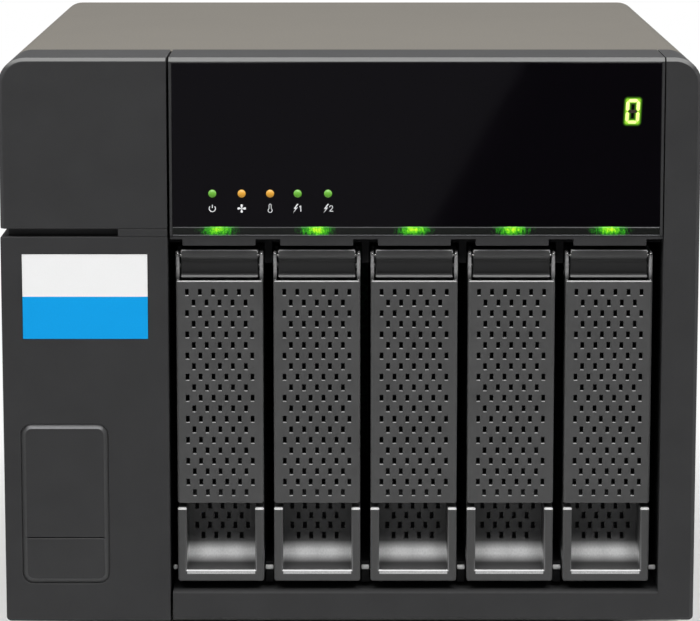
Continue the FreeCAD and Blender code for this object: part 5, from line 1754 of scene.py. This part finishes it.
@dataclass
class Service:
    """What the inside and the back hold: boards, ports, supply, switch and fans."""

    fan_holes: float = 105.0 * MM
    head: tuple[Pair, ...] = ((2.7, 0.0), (2.7, 0.55), (2.45, 0.95), (1.6, 1.3), (0.02, 1.4))
    head_rise: float = 1.4 * MM
    case_screw_inset: float = 3.0 * MM
    slot_half: float = 0.32 * MM

    def build(self) -> None:
        """Dresses the inner and rear pieces."""
        Edge(0.12 * MM, 2).refine(Palette.zinc, "power_supply")
        for finish, nodes in (
            (Palette.port, ("data_ports",)),
            (Palette.steel, ("board_standoffs",)),
            (Palette.board, ("backplane_board", "main_board", "front_board")),
            (Palette.plug, ("power_inlet", "drive_plugs", "status_leds", "drive_leds", "digit_display")),
            (Palette.fan, ("fan_frame", "fan_rotor", "supply_fan_rotor")),
            (Palette.rocker, ("power_switch",)),
        ):
            for node in nodes:
                self.keep(node, finish)
        guard = WireGuard()
        guard.wind("fan_guard", Palette.steel, 6, 8.4 * MM, 0.75 * MM)
        guard.wind("supply_fan_guard", Palette.steel, 4, 3.9 * MM, 0.5 * MM)
        self.screws()

    def screws(self) -> None:
        """Makes the fan's four screws, and the cross slots of all the screws at the back as near-black blocks
        on the heads: painted shade in place of cut slots.
        """
        x, z = face_centre("fan_guard")
        half = self.fan_holes / 2
        spots = [(x + a * half, z + b * half) for a in (-1, 1) for b in (-1, 1)]
        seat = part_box("rear_panel")[1].y
        heads, slots = bmesh.new(), bmesh.new()
        for spot_x, spot_z in spots:
            add_lathe(heads, [(r * MM, y * MM) for r, y in self.head], (spot_x, seat, spot_z))
        make_piece(heads, "fan_screws", Palette.steel, 50.0)
        low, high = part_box("case_screws")
        inset, narrow = self.case_screw_inset, self.slot_half
        corners = [(a, b) for a in (low.x + inset, high.x - inset) for b in (low.z + inset, high.z - inset)]
        # each slot is a thin near-black block standing a hair proud of the head: painted shade
        for places, top, reach in ((spots, seat + self.head_rise, 1.25 * MM), (corners, high.y, 1.7 * MM)):
            for spot_x, spot_z in places:
                for across, up in ((reach, narrow), (narrow, reach)):
                    lowest = (spot_x - across, top - 0.25 * MM, spot_z - up)
                    add_block(slots, lowest, (spot_x + across, top + 0.03 * MM, spot_z + up))
        make_piece(slots, "screw_slots", Palette.shade, 50.0)

    def keep(self, node: str, finish: Finish) -> None:
        """Gives a construction node its finish and leaves its shape.

        Args:
            node: Name of the node.
            finish: Its finish.
        """
        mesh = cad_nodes()[node].data
        mesh.materials.clear()
        mesh.materials.append(finish.material())
        LOG.info("node %s kept with %s", node, finish.name)


# ---------------------------------------------------------------- studio


@dataclass
class Studio:
    """Pale floor, white surroundings, soft lamps and the camera."""

    focal: float = 171.2
    eye: Point = (0.0, -1.1098, 0.2694)
    pitch: float = 9.436
    sky: float = 0.16
    white_from: Pair = (0.12, 0.40)
    card_front: float = -1.45
    card_low: float = -0.7
    card_high: float = 1.3
    card_side: float = 1.6
    card_foot: float = -0.305
    card_lean: float = 0.59 / 1.05
    card_lift: float = 1.0 * MM

    def build(self) -> None:
        """Sets up the studio."""
        self.world()
        self.floor()
        self.cards()
        self.lamp("overhead_soft", (0.0, -0.20, 1.05), (0.0, -0.02, 0.10), (0.7, 0.42), 6.5)
        for kind, (x, y, z), aim, size, power in (
            ("front_soft", (0.42, -0.80, 1.0), (0.0, -0.1, 0.08), (0.5, 0.35), 4.2),
            ("side_soft", (1.2, -0.05, 0.65), (0.0, 0.0, 0.08), (0.6, 0.5), 4.5),
        ):
            self.lamp(f"{kind}_left", (-x, y, z), aim, size, power)
            self.lamp(f"{kind}_right", (x, y, z), aim, size, power)
        self.lamp("rear_soft", (0.0, 1.1, 1.3), (0.0, 0.1, 0.08), (0.9, 0.7), 5.0)
        self.camera()
        bpy.context.scene.view_settings.view_transform = "Standard"

    def world(self) -> None:
        """Makes the surroundings: white to the camera, softer to the object."""
        world = bpy.data.worlds.new("surroundings")
        bpy.context.scene.world = world
        world.use_nodes = True
        bench = Bench(world.node_tree)
        bench.tree.nodes.clear()
        soft, white = (
            bench.out("ShaderNodeBackground", {"Color": (1.0, 1.0, 1.0), "Strength": strength})
            for strength in (self.sky, 1.0)
        )
        mixed = bench.out("ShaderNodeMixShader", {0: bench.plain_view(), 1: soft, 2: white})
        bench.add("ShaderNodeOutputWorld", {"Surface": mixed})

    def floor(self) -> None:
        """Lays the pale floor under the feet."""
        bm = bmesh.new()
        corners = ((-3.0, -0.75), (3.0, -0.75), (3.0, 3.2), (-3.0, 3.2))
        bm.faces.new([bm.verts.new((x, y, -0.0002)) for x, y in corners])
        floor = link_piece("pale_floor", finished(bm, "pale_floor"))
        bench = ShaderBench("floor_paint")
        pale = bench.ramp(bench.noise(60.0), [(0.3, grey(0.87)), (0.7, grey(0.90))])
        bench.surface({"Base Color": pale, "Roughness": 0.9, "Specular IOR Level": 0.1})
        reach = bench.add("ShaderNodeVectorMath", {0: bench.place}, operation="LENGTH").outputs["Value"]
        far = bench.span(Signal(bench, reach), *self.white_from)
        bench.overlay(bench.out("ShaderNodeEmission"), far * bench.plain_view())
        floor.data.materials.append(bench.material)

    def cards(self) -> None:
        """Puts dark cards before the object, as a studio does, which only gloss shows."""
        y, low, high, side = self.card_front, self.card_low, self.card_high, self.card_side
        foot = (self.card_foot, y, low)
        head = (self.card_foot + (high - low) * self.card_lean, y, high)
        self.card("front_card_left", [(-side, y, low), foot, head, (-side, y, high)], 0.15)
        self.card("front_card_right", [foot, (side, y, low), (side, y, high), head], 0.03)
        corners = ((-0.8, -0.75), (0.8, -0.75), (0.8, -0.15), (-0.8, -0.15))
        self.card("floor_card", [(x, y, self.card_lift) for x, y in corners], 0.05)

    def card(self, name: str, corners: Sequence[Point], strength: float) -> None:
        """Puts up one card.

        Args:
            name: Name of the card.
            corners: Its corners, in order.
            strength: How bright it looks.
        """
        mesh = bpy.data.meshes.new(name)
        mesh.from_pydata(corners, [], [tuple(range(len(corners)))])
        card = link_piece(name, mesh)
        bench = ShaderBench(f"{name}_tone")
        bench.surface({"Base Color": (0.0, 0.0, 0.0), "Specular IOR Level": 0.0})
        bench.glow((0.93, 0.93, 1.0), strength)
        mesh.materials.append(bench.material)
        for rays in ("camera", "diffuse", "shadow", "transmission"):
            setattr(card, f"visible_{rays}", False)

    def lamp(self, name: str, place: Point, aim: Point, size: Pair, power: float) -> None:
        """Hangs a soft lamp.

        Args:
            name: Name of the lamp.
            place: Where it hangs.
            aim: The point that it faces.
            size: Its width and height.
            power: Its power in watts.
        """
        data = bpy.data.lights.new(name, "AREA")
        data.shape = "RECTANGLE"
        data.size, data.size_y = size
        data.energy = power
        lamp = bpy.data.objects.new(name, data)
        lamp.location = place
        lamp.rotation_euler = (Vector(aim) - Vector(place)).to_track_quat("-Z", "Y").to_euler()
        bpy.context.scene.collection.objects.link(lamp)

    def camera(self) -> None:
        """Places the camera before the object, looking slightly down on it."""
        data = bpy.data.cameras.new("camera")
        data.lens = self.focal
        data.sensor_width = 36.0
        data.clip_start = 0.05
        data.clip_end = 30.0
        camera = bpy.data.objects.new("camera", data)
        camera.location = self.eye
        camera.rotation_euler = (math.radians(90.0 - self.pitch), 0.0, 0.0)
        bpy.context.scene.collection.objects.link(camera)
        bpy.context.scene.camera = camera


def main(frame: dict[str, object]) -> None:
    """Builds every sub-assembly and the studio, in order.
    """
    logging.basicConfig(level=logging.INFO, format="%(name)s: %(message)s")
    _FRAME.update(frame)
    makers: list[Callable[[], None]] = [
        Shell().build,
        Column().build,
        Indicators().build,
        Trays().build,
        Service().build,
        Studio().build,
    ]
    for make in makers:
        make()


if __name__ == "__main__":
    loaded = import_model()
    main(loaded)
